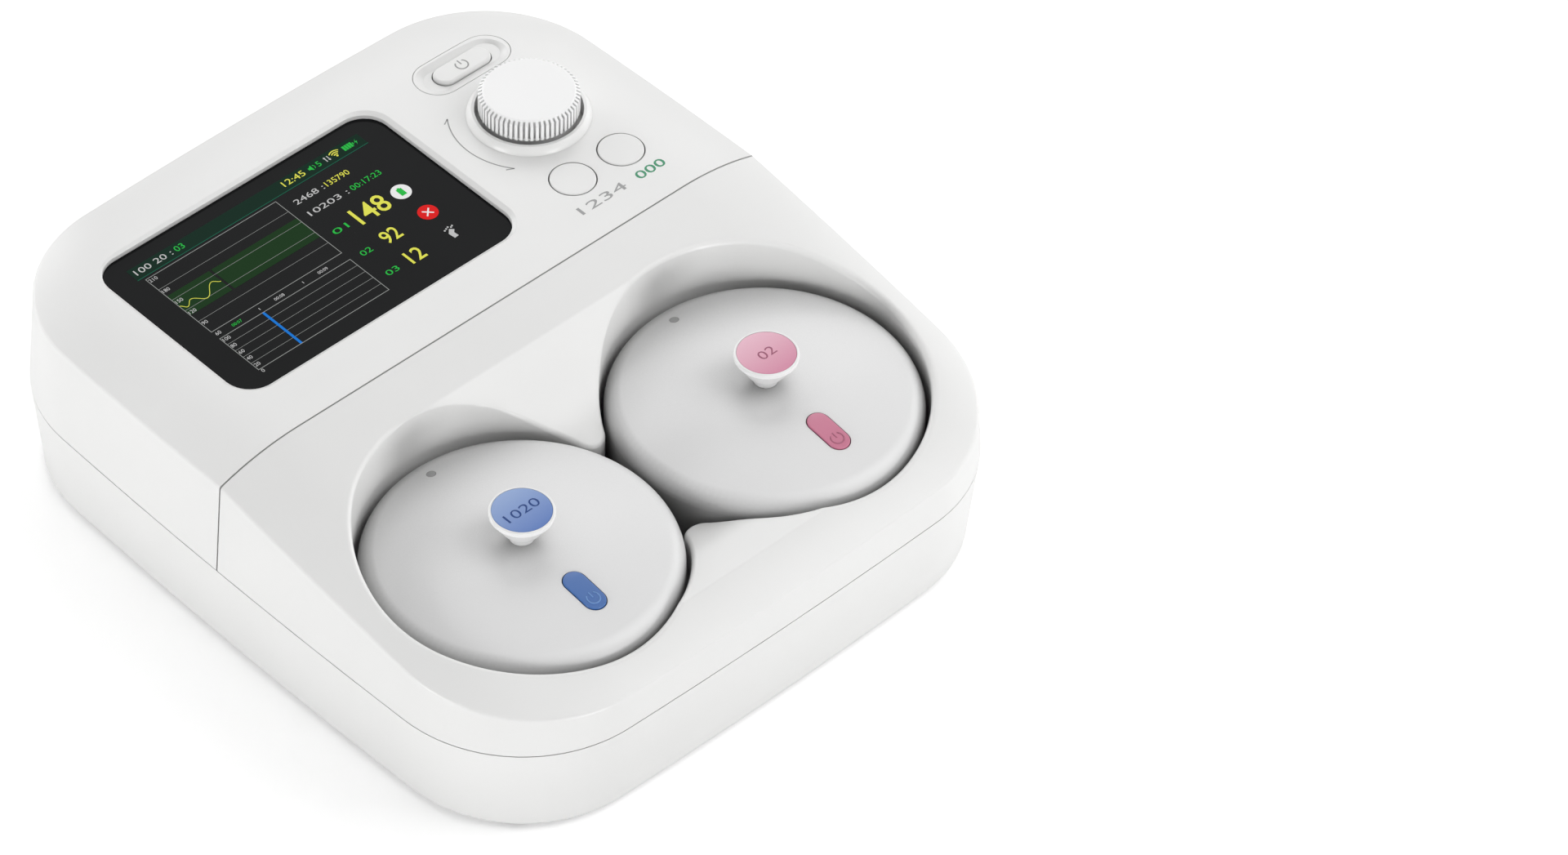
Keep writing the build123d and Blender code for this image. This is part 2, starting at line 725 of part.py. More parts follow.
with BuildPart() as charge_board:
    with Locations((0, well_y + pin_y, charge_board_top)):
        Box(*charge_board_size, board, align=(Align.CENTER, Align.CENTER, Align.MAX))
save(charge_board, "charge_board")

with BuildPart() as charging_pins:
    with BuildSketch(Plane.XY.offset(charge_board_top)):
        with Locations(*pin_row):
            Circle(pin_radius)
    extrude(amount=probe_seat - charge_board_top)
save(charging_pins, "charging_pins")

# ---- inside the dock -------------------------------------------------------------
with BuildPart() as battery_pack:
    with Locations((0, well_y, floor_top)):
        Box(*battery_size, align=(Align.CENTER, Align.CENTER, Align.MIN))
    fillet(battery_pack.edges().filter_by(Axis.Z), battery_corner)
save(battery_pack, "battery_pack")

with BuildPart() as main_board:
    with Locations((*main_board_place, main_board_height)):
        Box(*main_board_size, board, align=(Align.CENTER, Align.CENTER, Align.MIN))
save(main_board, "main_board")

with BuildPart() as shield_can:
    with Locations((*shield_place, main_board_height + board)):
        Box(*shield_size, align=(Align.CENTER, Align.CENTER, Align.MIN))
    offset(
        amount=-shield_wall,
        openings=shield_can.faces().sort_by(Axis.Z)[0],
    )
save(shield_can, "shield_can")

with BuildPart() as usb_inlet:
    mouth = half_depth - lower_taper * (parting - inlet_height) / lower_height
    mouth -= inlet_x**2 / (2 * end_bow) + inlet_recess
    with BuildSketch(Plane.XZ.offset(-mouth)):
        with Locations((inlet_x, inlet_height)):
            SlotOverall(inlet_size[0], inlet_size[1])
            SlotOverall(
                inlet_size[0] - 2 * inlet_wall,
                inlet_size[1] - 2 * inlet_wall,
                mode=Mode.SUBTRACT,
            )
            Rectangle(*inlet_tongue)
    extrude(amount=inlet_size[2])
    with BuildSketch(Plane.XZ.offset(inlet_size[2] - mouth)):
        with Locations((inlet_x, inlet_height)):
            SlotOverall(inlet_size[0], inlet_size[1])
    extrude(amount=-inlet_back)
save(usb_inlet, "usb_inlet")

with BuildPart() as speaker:
    add(
        turned(
            *speaker_place,
            [
                (0, floor_top),
                (speaker_radius, floor_top),
                (speaker_radius, floor_top + speaker_rim),
                (magnet_radius, floor_top + speaker_basket),
                (magnet_radius, floor_top + speaker_height),
                (0, floor_top + speaker_height),
            ],
        )
    )
save(speaker, "speaker")

with BuildPart() as housing_screws:
    seat = shell_bottom + head_recess
    with BuildSketch(Plane.XY.offset(seat)):
        with Locations(*front_spots, *rear_spots):
            Circle(screw_head_radius)
    extrude(amount=-screw_head_height)
    with BuildSketch(Plane.XY.offset(seat)):
        with Locations(*front_spots, *rear_spots):
            Circle(screw_radius)
    extrude(amount=parting + screw_bite - seat)
    with BuildSketch(Plane.XY.offset(seat - screw_head_height)):
        with Locations(*front_spots, *rear_spots):
            Rectangle(screw_recess[0], screw_recess[1])
            Rectangle(screw_recess[1], screw_recess[0])
    extrude(amount=screw_recess[2], mode=Mode.SUBTRACT)
save(housing_screws, "housing_screws")

with BuildPart() as rubber_feet:
    with BuildSketch():
        with GridLocations(2 * foot_x, 2 * foot_y, 2, 2):
            Circle(foot_radius)
    extrude(amount=shell_bottom + foot_recess)
    fillet(rubber_feet.edges().group_by(Axis.Z)[0], foot_round)
save(rubber_feet, "rubber_feet")

# ---- display ---------------------------------------------------------------------
with BuildPart() as display_frame:
    with BuildSketch(Plane.XY.offset(glass_bottom - frame_thickness)):
        with Locations(((screen_left + screen_right) / 2, (screen_front + screen_back) / 2)):
            Rectangle(
                screen_right - screen_left + 2 * frame_margin,
                screen_back - screen_front + 2 * frame_margin,
            )
    extrude(amount=frame_thickness + screen_depth)
    add(rear_hollow, mode=Mode.INTERSECT)
    extrude(screen_outline(glass_bottom), amount=screen_depth, mode=Mode.SUBTRACT)
    extrude(
        screen_outline(glass_bottom - frame_thickness, -lcd_margin),
        amount=frame_thickness,
        mode=Mode.SUBTRACT,
    )
    with BuildSketch(Plane.XY.offset(glass_bottom - frame_thickness)):
        with Locations(*frame_screws):
            Circle(frame_screw_radius + snug)
    extrude(amount=frame_thickness + screen_depth, mode=Mode.SUBTRACT)
save(display_frame, "display_frame")

with BuildPart() as display_glass:
    extrude(screen_outline(glass_bottom, -glass_clearance), amount=glass_thickness)
save(display_glass, "display_glass")

with BuildPart() as lcd_module:
    panel_bottom = glass_bottom - frame_thickness
    extrude(screen_outline(panel_bottom, -lcd_margin - glass_clearance), amount=frame_thickness - snug)
    extrude(screen_outline(panel_bottom - lcd_backing, lcd_lip - lcd_margin), amount=lcd_backing)
save(lcd_module, "lcd_module")

with BuildPart() as display_screws:
    head_top = glass_bottom - frame_thickness
    with BuildSketch(Plane.XY.offset(head_top)):
        with Locations(*frame_screws):
            Circle(frame_screw_head[0])
    extrude(amount=-frame_screw_head[1])
    with BuildSketch(Plane.XY.offset(head_top)):
        with Locations(*frame_screws):
            Circle(frame_screw_radius)
    extrude(amount=deck_underside + frame_screw_bite - frame_screw_room - head_top)
save(display_screws, "display_screws")

# ---- controls --------------------------------------------------------------------
with BuildPart() as control_board:
    with Locations((*control_board_place, control_board_top)):
        Box(*control_board_size, board, align=(Align.CENTER, Align.CENTER, Align.MAX))
save(control_board, "control_board")

with BuildPart() as key_switches:
    switch_spots = [(x, key_y) for x in key_places] + [(control_x, power_y)]
    with BuildSketch(Plane.XY.offset(control_board_top)):
        with Locations(*switch_spots):
            Rectangle(switch_size, switch_size)
    extrude(amount=switch_height)
    with BuildSketch(Plane.XY.offset(control_board_top + switch_height)):
        with Locations(*switch_spots):
            Circle(switch_button_radius)
    extrude(amount=switch_button_height)
save(key_switches, "key_switches")

with BuildPart() as encoder_body:
    with Locations((control_x, knob_y, control_board_top)):
        Box(*encoder_size, align=(Align.CENTER, Align.CENTER, Align.MIN))
    with BuildSketch(Plane.XY.offset(pit_underside)):
        with Locations((control_x, knob_y)):
            Circle(bushing_radius)
    extrude(amount=bushing_length)
    with Locations((control_x, knob_y, pit_underside + bushing_length)):
        Hole(
            shaft_radius + running_clearance,
            depth=bushing_length + encoder_size[2] - encoder_base,
        )
save(encoder_body, "encoder_body")

with BuildPart() as encoder_nut_ring:
    with BuildSketch(Plane.XY.offset(pit_floor)):
        with Locations((control_x, knob_y)):
            RegularPolygon(encoder_nut[0] / 2, 6, major_radius=False)
            Circle(bushing_radius + running_clearance, mode=Mode.SUBTRACT)
    extrude(amount=encoder_nut[1])
save(encoder_nut_ring, "encoder_nut")

with BuildPart() as encoder_shaft:
    shaft_bottom = control_board_top + encoder_base + shaft_float
    with BuildSketch(Plane.XY.offset(shaft_bottom)):
        with Locations((control_x, knob_y)):
            Circle(shaft_radius)
    extrude(amount=shaft_top - shaft_bottom)
save(encoder_shaft, "encoder_shaft")

with BuildPart() as knob:
    skirt_bottom = pit_floor + skirt_gap
    bushing_top = pit_underside + bushing_length
    nut_top = pit_floor + encoder_nut[1]
    nut_room = encoder_nut[0] / sqrt(3) + nut_clearance
    add(
        turned(
            control_x,
            knob_y,
            [
                (0, skirt_bottom),
                (skirt_radius, skirt_bottom),
                (skirt_radius, knurl_bottom),
                (knob_radius, knurl_bottom),
                (knob_radius, knob_top - knob_bevel),
                (knob_face_radius, knob_top),
                (0, knob_top),
            ],
        )
    )
    fillet(ring_edges(knob, knob_face_radius), knob_edge_round)
    with BuildSketch(Plane.XY.offset(knurl_bottom)):
        with Locations((control_x, knob_y)):
            with PolarLocations(knob_radius, knurl_count):
                Rectangle(2 * knurl_depth, knurl_width)
    extrude(amount=knob_top - knurl_bottom, mode=Mode.SUBTRACT)
    with Locations(Location((control_x, knob_y, skirt_bottom), (180, 0, 0))):
        Hole(nut_room, depth=nut_top + hub_clearance - skirt_bottom)
        Hole(bushing_radius + hub_clearance, depth=bushing_top + hub_clearance - skirt_bottom)
        Hole(shaft_radius, depth=shaft_top - skirt_bottom)
save(knob, "knob")

with BuildPart() as dish_flange_ring:
    with BuildSketch(Plane.XY.offset(dish_bottom)):
        with Locations((control_x, power_y)):
            SlotOverall(dish_length + 2 * dish_flange, dish_width + 2 * dish_flange)
    extrude(amount=dish_flange + cut_margin)
    add(rear_hollow, mode=Mode.INTERSECT)

with BuildPart() as power_dish:
    with BuildSketch(Plane.XY.offset(dish_bottom)):
        with Locations((control_x, power_y)):
            SlotOverall(dish_length, dish_width)
    extrude(amount=deck - dish_bottom)
    add(rear_block, mode=Mode.INTERSECT)
    add(dish_flange_ring.part)
    with BuildSketch(Plane.XY.offset(dish_floor)) as dish_floor_outline:
        with Locations((control_x, power_y)):
            SlotOverall(dish_length - 2 * dish_slope_width, dish_width - 2 * dish_slope_width)
    with BuildSketch(Plane.XY.offset(deck)) as dish_rim_outline:
        with Locations((control_x, power_y)):
            SlotOverall(dish_length - 2 * dish_lip, dish_width - 2 * dish_lip)
    loft([dish_floor_outline.sketch, dish_rim_outline.sketch], ruled=True, mode=Mode.SUBTRACT)
    with BuildSketch(Plane.XY.offset(dish_bottom)):
        with Locations((control_x, power_y)):
            SlotOverall(power_length + 2 * power_gap, power_width + 2 * power_gap)
    extrude(amount=dish_floor - dish_bottom, mode=Mode.SUBTRACT)
save(power_dish, "power_dish")


def pushed_key(spot, outline, flange, flange_top, top, stem_bottom, round_edge):
    """A key: cap with softened edges, flange under its shell and stem above its switch."""
    with BuildPart() as key:
        extrude(flange.moved(Location((0, 0, flange_top - key_flange))), amount=key_flange)
        extrude(outline.moved(Location((0, 0, flange_top))), amount=top - flange_top)
        fillet(key.edges().group_by(Axis.Z)[-1], round_edge)
        with BuildSketch(Plane.XY.offset(stem_bottom)):
            with Locations(spot):
                Circle(key_stem_radius)
        extrude(amount=flange_top - key_flange - stem_bottom)
    return key


def round_outline(x, radius):
    """Plan of a round key."""
    with BuildSketch() as outline:
        with Locations((x, key_y)):
            Circle(radius)
    return outline.sketch


def pill_outline(grow=0.0):
    """Plan of the power key."""
    with BuildSketch() as outline:
        with Locations((control_x, power_y)):
            SlotOverall(power_length + 2 * grow, power_width + 2 * grow)
    return outline.sketch


stem_bottom = switch_top + switch_gap
power_key = pushed_key(
    (control_x, power_y),
    pill_outline(),
    pill_outline(power_gap + key_flange),
    dish_bottom - stop_gap,
    dish_floor + power_proud,
    stem_bottom,
    power_round,
)
save(power_key, "power_key")

for side_name, key_x in zip(("left", "right"), key_places):
    round_key = pushed_key(
        (key_x, key_y),
        round_outline(key_x, key_radius),
        round_outline(key_x, key_radius + key_gap + key_flange),
        deck_underside - key_room,
        deck + key_proud,
        stem_bottom,
        key_round,
    )
    save(round_key, f"{side_name}_key")

# ---- probes ----------------------------------------------------------------------
split_height = probe_seat + probe_split
probe_floor_top = probe_seat + probe_wall
board_bottom = probe_seat + probe_board_height
board_top = board_bottom + board
probe_switch_top = board_top + switch_height + switch_button_height
inner_dome = dome_top - probe_wall
collar_height = dome_top + stud_collar_height

for name, probe_x in (("contraction", -well_x), ("heartbeat", well_x)):
    centre = (probe_x, well_y)
    button_spot = (probe_x, well_y + button_y)
    light_spot = (probe_x, well_y + led_y)
    pad_spots = [(probe_x + step * pin_pitch, well_y + pin_y) for step in (-1, 0, 1)]
    port_radius = plunger_radius if name == "contraction" else lens_radius

    inside_radius = probe_radius - probe_wall
    with BuildPart() as shell_inside:
        add(domed_disc(*centre, inside_radius, split_height, -probe_wall))
        inside_rim = ring_edges(shell_inside, inside_radius).sort_by(Axis.Z)[-1]
        fillet(inside_rim, dome_edge_round - probe_wall)

    with BuildPart() as top_shell:
        add(domed_disc(*centre, probe_radius, split_height))
        fillet(ring_edges(top_shell, probe_radius).sort_by(Axis.Z)[-1], dome_edge_round)
        add(shell_inside.part, mode=Mode.SUBTRACT)
        with Locations((*centre, dome_top)):
            CounterBoreHole(
                stud_shank_radius + snug,
                stud_neck_radius + snug,
                stud_seat_depth,
                depth=3 * probe_wall,
            )
        with Locations((*light_spot, dome_top)):
            Hole(led_radius + running_clearance, depth=5 * probe_wall)
        with BuildSketch(Plane.XY.offset(dome_top)):
            with Locations(button_spot):
                SlotOverall(button_length + 2 * button_gap, button_width + 2 * button_gap, rotation=90)
        extrude(amount=-4 * probe_wall, mode=Mode.SUBTRACT)
    save(top_shell, f"{name}_top_shell")

    with BuildPart() as base_shell:
        with BuildSketch(Plane.XY.offset(probe_seat)):
            with Locations(centre):
                Circle(probe_radius)
        extrude(amount=probe_split)
        fillet(base_shell.edges().group_by(Axis.Z)[0], probe_foot_round)
        with BuildSketch(Plane.XY.offset(probe_floor_top)):
            with Locations(centre):
                Circle(probe_radius - base_wall)
        extrude(amount=probe_split, mode=Mode.SUBTRACT)
        # posts that carry the board
        with BuildSketch(Plane.XY.offset(probe_floor_top)):
            with Locations(centre):
                with PolarLocations(probe_post_ring_radius, probe_post_count, start_angle=30):
                    Circle(probe_post_radius)
        extrude(amount=board_bottom - probe_floor_top)
        # port for the sensor, and seats of the charging contacts
        with BuildSketch(Plane.XY.offset(probe_seat)):
            with Locations(centre):
                Circle(port_radius + running_clearance)
            with Locations(*pad_spots):
                Circle(pad_radius + running_clearance)
        extrude(amount=probe_wall, mode=Mode.SUBTRACT)
    save(base_shell, f"{name}_base_shell")

    with BuildPart() as contacts:
        with BuildSketch(Plane.XY.offset(probe_seat)):
            with Locations(*pad_spots):
                Circle(pad_radius)
        extrude(amount=probe_wall)
    save(contacts, f"{name}_contacts")

    with BuildPart() as probe_board:
        with BuildSketch(Plane.XY.offset(board_bottom)):
            with Locations(centre):
                Circle(probe_board_radius)
        extrude(amount=board)
        with BuildSketch(Plane.XY.offset(board_top)):
            with Locations(button_spot):
                Rectangle(switch_size, switch_size)
        extrude(amount=switch_height)
        with BuildSketch(Plane.XY.offset(board_top + switch_height)):
            with Locations(button_spot):
                Circle(switch_button_radius)
        extrude(amount=switch_button_height)
    save(probe_board, f"{name}_board")

    with BuildPart() as probe_battery:
        with Locations((*centre, board_bottom)):
            Box(*probe_battery_size, align=(Align.CENTER, Align.CENTER, Align.MAX))
        fillet(probe_battery.edges().filter_by(Axis.Z), probe_battery_corner)
    save(probe_battery, f"{name}_battery")

    with BuildPart() as stud:
        head_top = dome_top + stud_height
        cap_radius = stud_head_radius - stud_lip
        add(
            turned(
                *centre,
                [
                    (0, inner_dome - stud_shank_reach),
                    (stud_shank_radius, inner_dome - stud_shank_reach),
                    (stud_shank_radius, dome_top - stud_seat_depth),
                    (stud_neck_radius, dome_top - stud_seat_depth),
                    (stud_neck_radius, collar_height - stud_undercut),
                    (stud_collar_radius, collar_height),
                    (stud_head_radius, head_top - stud_rim_height),
                    (stud_head_radius, head_top),
                    (cap_radius, head_top),
                    (cap_radius, head_top - cap_thickness),
                    (0, head_top - cap_thickness),
                ],
            )
        )
        fillet(ring_edges(stud, stud_head_radius), stud_round)
    save(stud, f"{name}_stud")

    with BuildPart() as stud_cap:
        with BuildSketch(Plane.XY.offset(head_top - cap_thickness)):
            with Locations(centre):
                Circle(cap_radius - cap_fit)
        extrude(amount=cap_thickness)
        fillet(stud_cap.edges().group_by(Axis.Z)[-1], cap_round)
    save(stud_cap, f"{name}_stud_cap")

    with BuildPart() as button_cap:
        with BuildSketch(Plane.XY.offset(inner_dome - button_depth)):
            with Locations(button_spot):
                SlotOverall(button_length, button_width, rotation=90)
        extrude(amount=2 * button_depth)
        add(domed_disc(*centre, probe_radius, split_height, button_proud), mode=Mode.INTERSECT)
        fillet(button_cap.edges().group_by(Axis.Z)[-1], button_round)
    with BuildPart() as button_flange:
        with BuildSketch(Plane.XY.offset(inner_dome - button_depth - key_flange)):
            with Locations(button_spot):
                SlotOverall(
                    button_length + 2 * (button_gap + key_flange),
                    button_width + 2 * (button_gap + key_flange),
                    rotation=90,
                )
        extrude(amount=button_depth + key_flange)
        add(
            domed_disc(*centre, probe_board_radius, split_height, -probe_wall - stop_gap),
            mode=Mode.INTERSECT,
        )
    with BuildPart() as probe_button:
        add(button_cap.part)
        add(button_flange.part)
        stem_foot = probe_switch_top + button_gap_below
        with BuildSketch(Plane.XY.offset(stem_foot)):
            with Locations(button_spot):
                Circle(key_stem_radius)
        extrude(amount=inner_dome - button_depth - stem_foot)
    save(probe_button, f"{name}_button")

    with BuildPart() as light_pipe:
        with BuildSketch(Plane.XY.offset(board_top + led_gap)):
            with Locations(light_spot):
                Circle(led_radius)
        extrude(amount=dome_top - board_top)
        add(domed_disc(*centre, probe_radius, split_height), mode=Mode.INTERSECT)
    save(light_pipe, f"{name}_light_pipe")

# ---- sensor of the contraction probe ---------------------------------------------
left_well = (-well_x, well_y)
flange_bottom = probe_floor_top + stop_gap
flange_top = flange_bottom + key_flange
cell_bottom = flange_top + plunger_travel + stop_gap

with BuildPart() as plunger:
    add(
        turned(
            *left_well,
            [
                (0, probe_seat - plunger_reach),
                (plunger_radius, probe_seat - plunger_reach),
                (plunger_radius, flange_bottom),
                (plunger_radius + plunger_flange, flange_bottom),
                (plunger_radius + plunger_flange, flange_top),
                (0, flange_top),
            ],
        )
    )
    fillet(plunger.edges().group_by(Axis.Z)[0], plunger_round)
save(plunger, "contraction_plunger")

with BuildPart() as load_cell:
    with Locations((*left_well, cell_bottom)):
        Box(*load_cell_size, align=(Align.CENTER, Align.CENTER, Align.MIN))
    foot_step = (load_cell_size[0] - load_cell_foot) / 2
    with Locations(*[(left_well[0] + side * foot_step, well_y, probe_floor_top) for side in (-1, 1)]):
        Box(
            load_cell_foot,
            load_cell_size[1],
            cell_bottom - probe_floor_top,
            align=(Align.CENTER, Align.CENTER, Align.MIN),
        )
save(load_cell, "contraction_load_cell")

# ---- sensor of the heartbeat probe -----------------------------------------------
right_well = (well_x, well_y)
lens_top = probe_floor_top + lens_flange_thickness

with BuildPart() as lens:
    add(
        turned(
            *right_well,
            [
                (0, probe_seat - lens_reach),
                (lens_radius, probe_seat - lens_reach),
                (lens_radius, probe_floor_top),
                (lens_radius + lens_flange, probe_floor_top),
                (lens_radius + lens_flange, lens_top),
                (0, lens_top),
            ],
        )
    )
    fillet(lens.edges().group_by(Axis.Z)[0], lens_round)
save(lens, "heartbeat_lens")

with BuildPart() as crystals:
    with BuildSketch(Plane.XY.offset(lens_top)):
        with Locations(right_well):
            Circle(crystal_radius)
            with PolarLocations(crystal_ring_radius, crystal_count):
                Circle(crystal_radius)
    extrude(amount=crystal_thickness)
save(crystals, "heartbeat_crystals")
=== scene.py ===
"""Looks of a tabletop fetal monitor: a white charging dock with a display, a knurled
selector and keys, and two round belt probes that stand in its wells.

Metres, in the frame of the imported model. Lengths below are written in millimetres and
multiplied by MM.
"""
import json
from math import cos, pi, radians, sin, sqrt

import bmesh
import bpy
from mathutils import Matrix, Vector


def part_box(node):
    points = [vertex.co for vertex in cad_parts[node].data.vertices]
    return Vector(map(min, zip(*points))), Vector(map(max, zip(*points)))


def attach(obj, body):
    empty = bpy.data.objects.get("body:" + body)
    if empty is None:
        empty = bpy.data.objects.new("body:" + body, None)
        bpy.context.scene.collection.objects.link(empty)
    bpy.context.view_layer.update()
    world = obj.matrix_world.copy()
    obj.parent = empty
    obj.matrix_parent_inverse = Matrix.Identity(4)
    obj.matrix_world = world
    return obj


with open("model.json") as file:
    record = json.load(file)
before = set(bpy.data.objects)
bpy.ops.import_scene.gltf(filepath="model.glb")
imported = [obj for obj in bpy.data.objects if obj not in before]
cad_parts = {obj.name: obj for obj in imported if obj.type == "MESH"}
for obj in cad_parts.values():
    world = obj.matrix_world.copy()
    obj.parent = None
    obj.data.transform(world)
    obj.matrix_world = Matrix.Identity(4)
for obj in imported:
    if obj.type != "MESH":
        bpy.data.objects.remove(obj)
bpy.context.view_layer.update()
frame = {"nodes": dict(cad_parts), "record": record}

MM = 0.001

# ---- camera: where the photographer stood ------------------------------------------
CAMERA_AZIMUTH = -42.039
CAMERA_ELEVATION = 44.691
CAMERA_DISTANCE = 1925.55 * MM
CAMERA_AIM = Vector((-1.614, -3.244, 26.2)) * MM
PICTURE_WIDTH = 1920
PICTURE_HEIGHT = 1047
AIM_PIXEL = (620, 520)
FOCAL_PIXELS = 8556.8
SENSOR_WIDTH = 36.0
CAMERA_SIGHT = 20               # metres that the camera sees


def add_camera():
    """The camera, aimed at the dock's middle, which sits left of the picture's centre."""
    azimuth = radians(CAMERA_AZIMUTH)
    elevation = radians(CAMERA_ELEVATION)
    back = Vector(
        (sin(azimuth) * cos(elevation), -cos(azimuth) * cos(elevation), sin(elevation))
    )
    right = Vector((cos(azimuth), sin(azimuth), 0))
    up = back.cross(right)
    data = bpy.data.cameras.new("camera")
    data.sensor_width = SENSOR_WIDTH
    data.lens = FOCAL_PIXELS / PICTURE_WIDTH * SENSOR_WIDTH
    data.shift_x = (PICTURE_WIDTH / 2 - AIM_PIXEL[0]) / PICTURE_WIDTH
    data.shift_y = (AIM_PIXEL[1] - PICTURE_HEIGHT / 2) / PICTURE_WIDTH
    data.clip_end = CAMERA_SIGHT
    camera = bpy.data.objects.new("camera", data)
    turn = Matrix((right, up, back)).transposed().to_4x4()
    camera.matrix_world = Matrix.Translation(CAMERA_AIM + back * CAMERA_DISTANCE) @ turn
    bpy.context.collection.objects.link(camera)
    bpy.context.scene.camera = camera


# ---- materials ---------------------------------------------------------------------
# painted shade: hollows narrower than the first number, in millimetres, are darker by the second
PAINTED_SHADE_HOLLOWS = ((30, 0.15), (1, 0.2))
PROBE_PAINTED_SHADE_HOLLOWS = ((45, 0.7),)
KNOB_PAINTED_SHADE_HOLLOWS = ((5, 0.25),)
STUD_PAINTED_SHADE_HOLLOWS = ((4, 0.4),)
PAINTED_SHADE_SAMPLES = 6
BEVEL_SAMPLES = 4

# sizes of the noise in materials, in features per metre
CLOUD_SCALE = 22                # slow drift of a moulding's colour
PATCH_SCALE = 180               # drift of its gloss
GRAIN_SCALE = 2600              # its fine grain
TARNISH_SCALE = 90
BRUSH_SCALE = 1400
SMEAR_SCALE = 60
DRIFT_SPAN = (0.3, 0.7)         # part of the noise's range over which a colour drifts
GRAIN_DEPTH = 0.02
BRUSH_DEPTH = 0.01
PIXEL_PITCH = 0.2               # of the display
PIXEL_GAP = 0.06                # share of a pixel that is dark


def new_material(name):
    """An empty node material with its shader and output."""
    material = bpy.data.materials.new(name)
    material.use_nodes = True
    tree = material.node_tree
    tree.nodes.clear()
    shader = tree.nodes.new("ShaderNodeBsdfPrincipled")
    output = tree.nodes.new("ShaderNodeOutputMaterial")
    tree.links.new(shader.outputs["BSDF"], output.inputs["Surface"])
    return material, tree, shader


def noise(tree, scale, detail=3, roughness=0.55):
    """Noise in object space; scale is in features per metre."""
    place = tree.nodes.new("ShaderNodeTexCoord")
    texture = tree.nodes.new("ShaderNodeTexNoise")
    texture.inputs["Scale"].default_value = scale
    texture.inputs["Detail"].default_value = detail
    texture.inputs["Roughness"].default_value = roughness
    tree.links.new(place.outputs["Object"], texture.inputs["Vector"])
    return texture


def spread(tree, source, low, high):
    """Maps a 0 to 1 value onto the range from low to high."""
    remap = tree.nodes.new("ShaderNodeMapRange")
    remap.inputs["To Min"].default_value = low
    remap.inputs["To Max"].default_value = high
    tree.links.new(source, remap.inputs["Value"])
    return remap.outputs["Result"]


def tint(tree, source, color, shift):
    """A colour that drifts from darker to lighter by the given share, driven by source."""
    ramp = tree.nodes.new("ShaderNodeValToRGB")
    darker, lighter = ramp.color_ramp.elements
    darker.position, lighter.position = DRIFT_SPAN
    darker.color = [c * (1 - shift) for c in color] + [1]
    lighter.color = [min(1, c * (1 + shift)) for c in color] + [1]
    tree.links.new(source, ramp.inputs["Fac"])
    return ramp.outputs["Color"]


def sheltered(tree, color, reach, share):
    """Paints shade into a colour: darker by the given share in hollows narrower than reach, in
    millimetres.
    """
    hollow = tree.nodes.new("ShaderNodeAmbientOcclusion")
    hollow.samples = PAINTED_SHADE_SAMPLES
    hollow.inputs["Distance"].default_value = reach * MM
    tree.links.new(color, hollow.inputs["Color"])
    mix = tree.nodes.new("ShaderNodeMix")
    mix.data_type = "RGBA"
    mix.inputs["Factor"].default_value = share
    tree.links.new(color, mix.inputs["A"])
    tree.links.new(hollow.outputs["Color"], mix.inputs["B"])
    return mix.outputs["Result"]


def moulded(
    name, color, gloss=0.32, grain=0.05, drift=0.012, soften=0.25, specular=0.5,
    painted_shade_hollows=(), rear=None, painted_light_span=(0, 1),
):
    """Moulded plastic or rubber: fine grain, slight drift of colour and gloss, soft edges, and painted
    shade in hollows.

    A second colour, rear, takes over towards the far end of painted_light_span, in metres along Y, as a
    painted highlight on that end.
    """
    material, tree, shader = new_material(name)
    cloud = noise(tree, CLOUD_SCALE, detail=2)
    fine = noise(tree, GRAIN_SCALE, detail=2)
    surface = tint(tree, cloud.outputs["Fac"], color, drift)
    # painted highlight: the second colour lightens the far end along Y
    if rear:
        place = tree.nodes.new("ShaderNodeTexCoord")
        split = tree.nodes.new("ShaderNodeSeparateXYZ")
        tree.links.new(place.outputs["Object"], split.inputs[0])
        along = tree.nodes.new("ShaderNodeMapRange")
        along.inputs["From Min"].default_value = painted_light_span[0]
        along.inputs["From Max"].default_value = painted_light_span[1]
        tree.links.new(split.outputs["Y"], along.inputs["Value"])
        mix = tree.nodes.new("ShaderNodeMix")
        mix.data_type = "RGBA"
        tree.links.new(along.outputs["Result"], mix.inputs["Factor"])
        tree.links.new(surface, mix.inputs["A"])
        tree.links.new(tint(tree, cloud.outputs["Fac"], rear, drift), mix.inputs["B"])
        surface = mix.outputs["Result"]
    # painted shade: each pair darkens the colour in hollows
    for reach, share in painted_shade_hollows:
        surface = sheltered(tree, surface, reach, share)
    tree.links.new(surface, shader.inputs["Base Color"])
    patchy = noise(tree, PATCH_SCALE)
    tree.links.new(
        spread(tree, patchy.outputs["Fac"], gloss * 0.9, gloss * 1.1), shader.inputs["Roughness"]
    )
    shader.inputs["Specular IOR Level"].default_value = specular
    bevel = tree.nodes.new("ShaderNodeBevel")
    bevel.samples = BEVEL_SAMPLES
    bevel.inputs["Radius"].default_value = soften * MM
    bump = tree.nodes.new("ShaderNodeBump")
    bump.inputs["Strength"].default_value = grain
    bump.inputs["Distance"].default_value = GRAIN_DEPTH * MM
    tree.links.new(fine.outputs["Fac"], bump.inputs["Height"])
    tree.links.new(bevel.outputs["Normal"], bump.inputs["Normal"])
    tree.links.new(bump.outputs["Normal"], shader.inputs["Normal"])
    return material


def metal(name, color, gloss=0.3, brushed=0.25):
    """Plated or machined metal with fine brushing and a little tarnish."""
    material, tree, shader = new_material(name)
    cloud = noise(tree, TARNISH_SCALE)
    lines = noise(tree, BRUSH_SCALE)
    tree.links.new(tint(tree, cloud.outputs["Fac"], color, 0.06), shader.inputs["Base Color"])
    tree.links.new(
        spread(tree, lines.outputs["Fac"], gloss * 0.7, gloss * 1.3), shader.inputs["Roughness"]
    )
    shader.inputs["Metallic"].default_value = 1.0
    bump = tree.nodes.new("ShaderNodeBump")
    bump.inputs["Strength"].default_value = brushed
    bump.inputs["Distance"].default_value = BRUSH_DEPTH * MM
    tree.links.new(lines.outputs["Fac"], bump.inputs["Height"])
    tree.links.new(bump.outputs["Normal"], shader.inputs["Normal"])
    return material


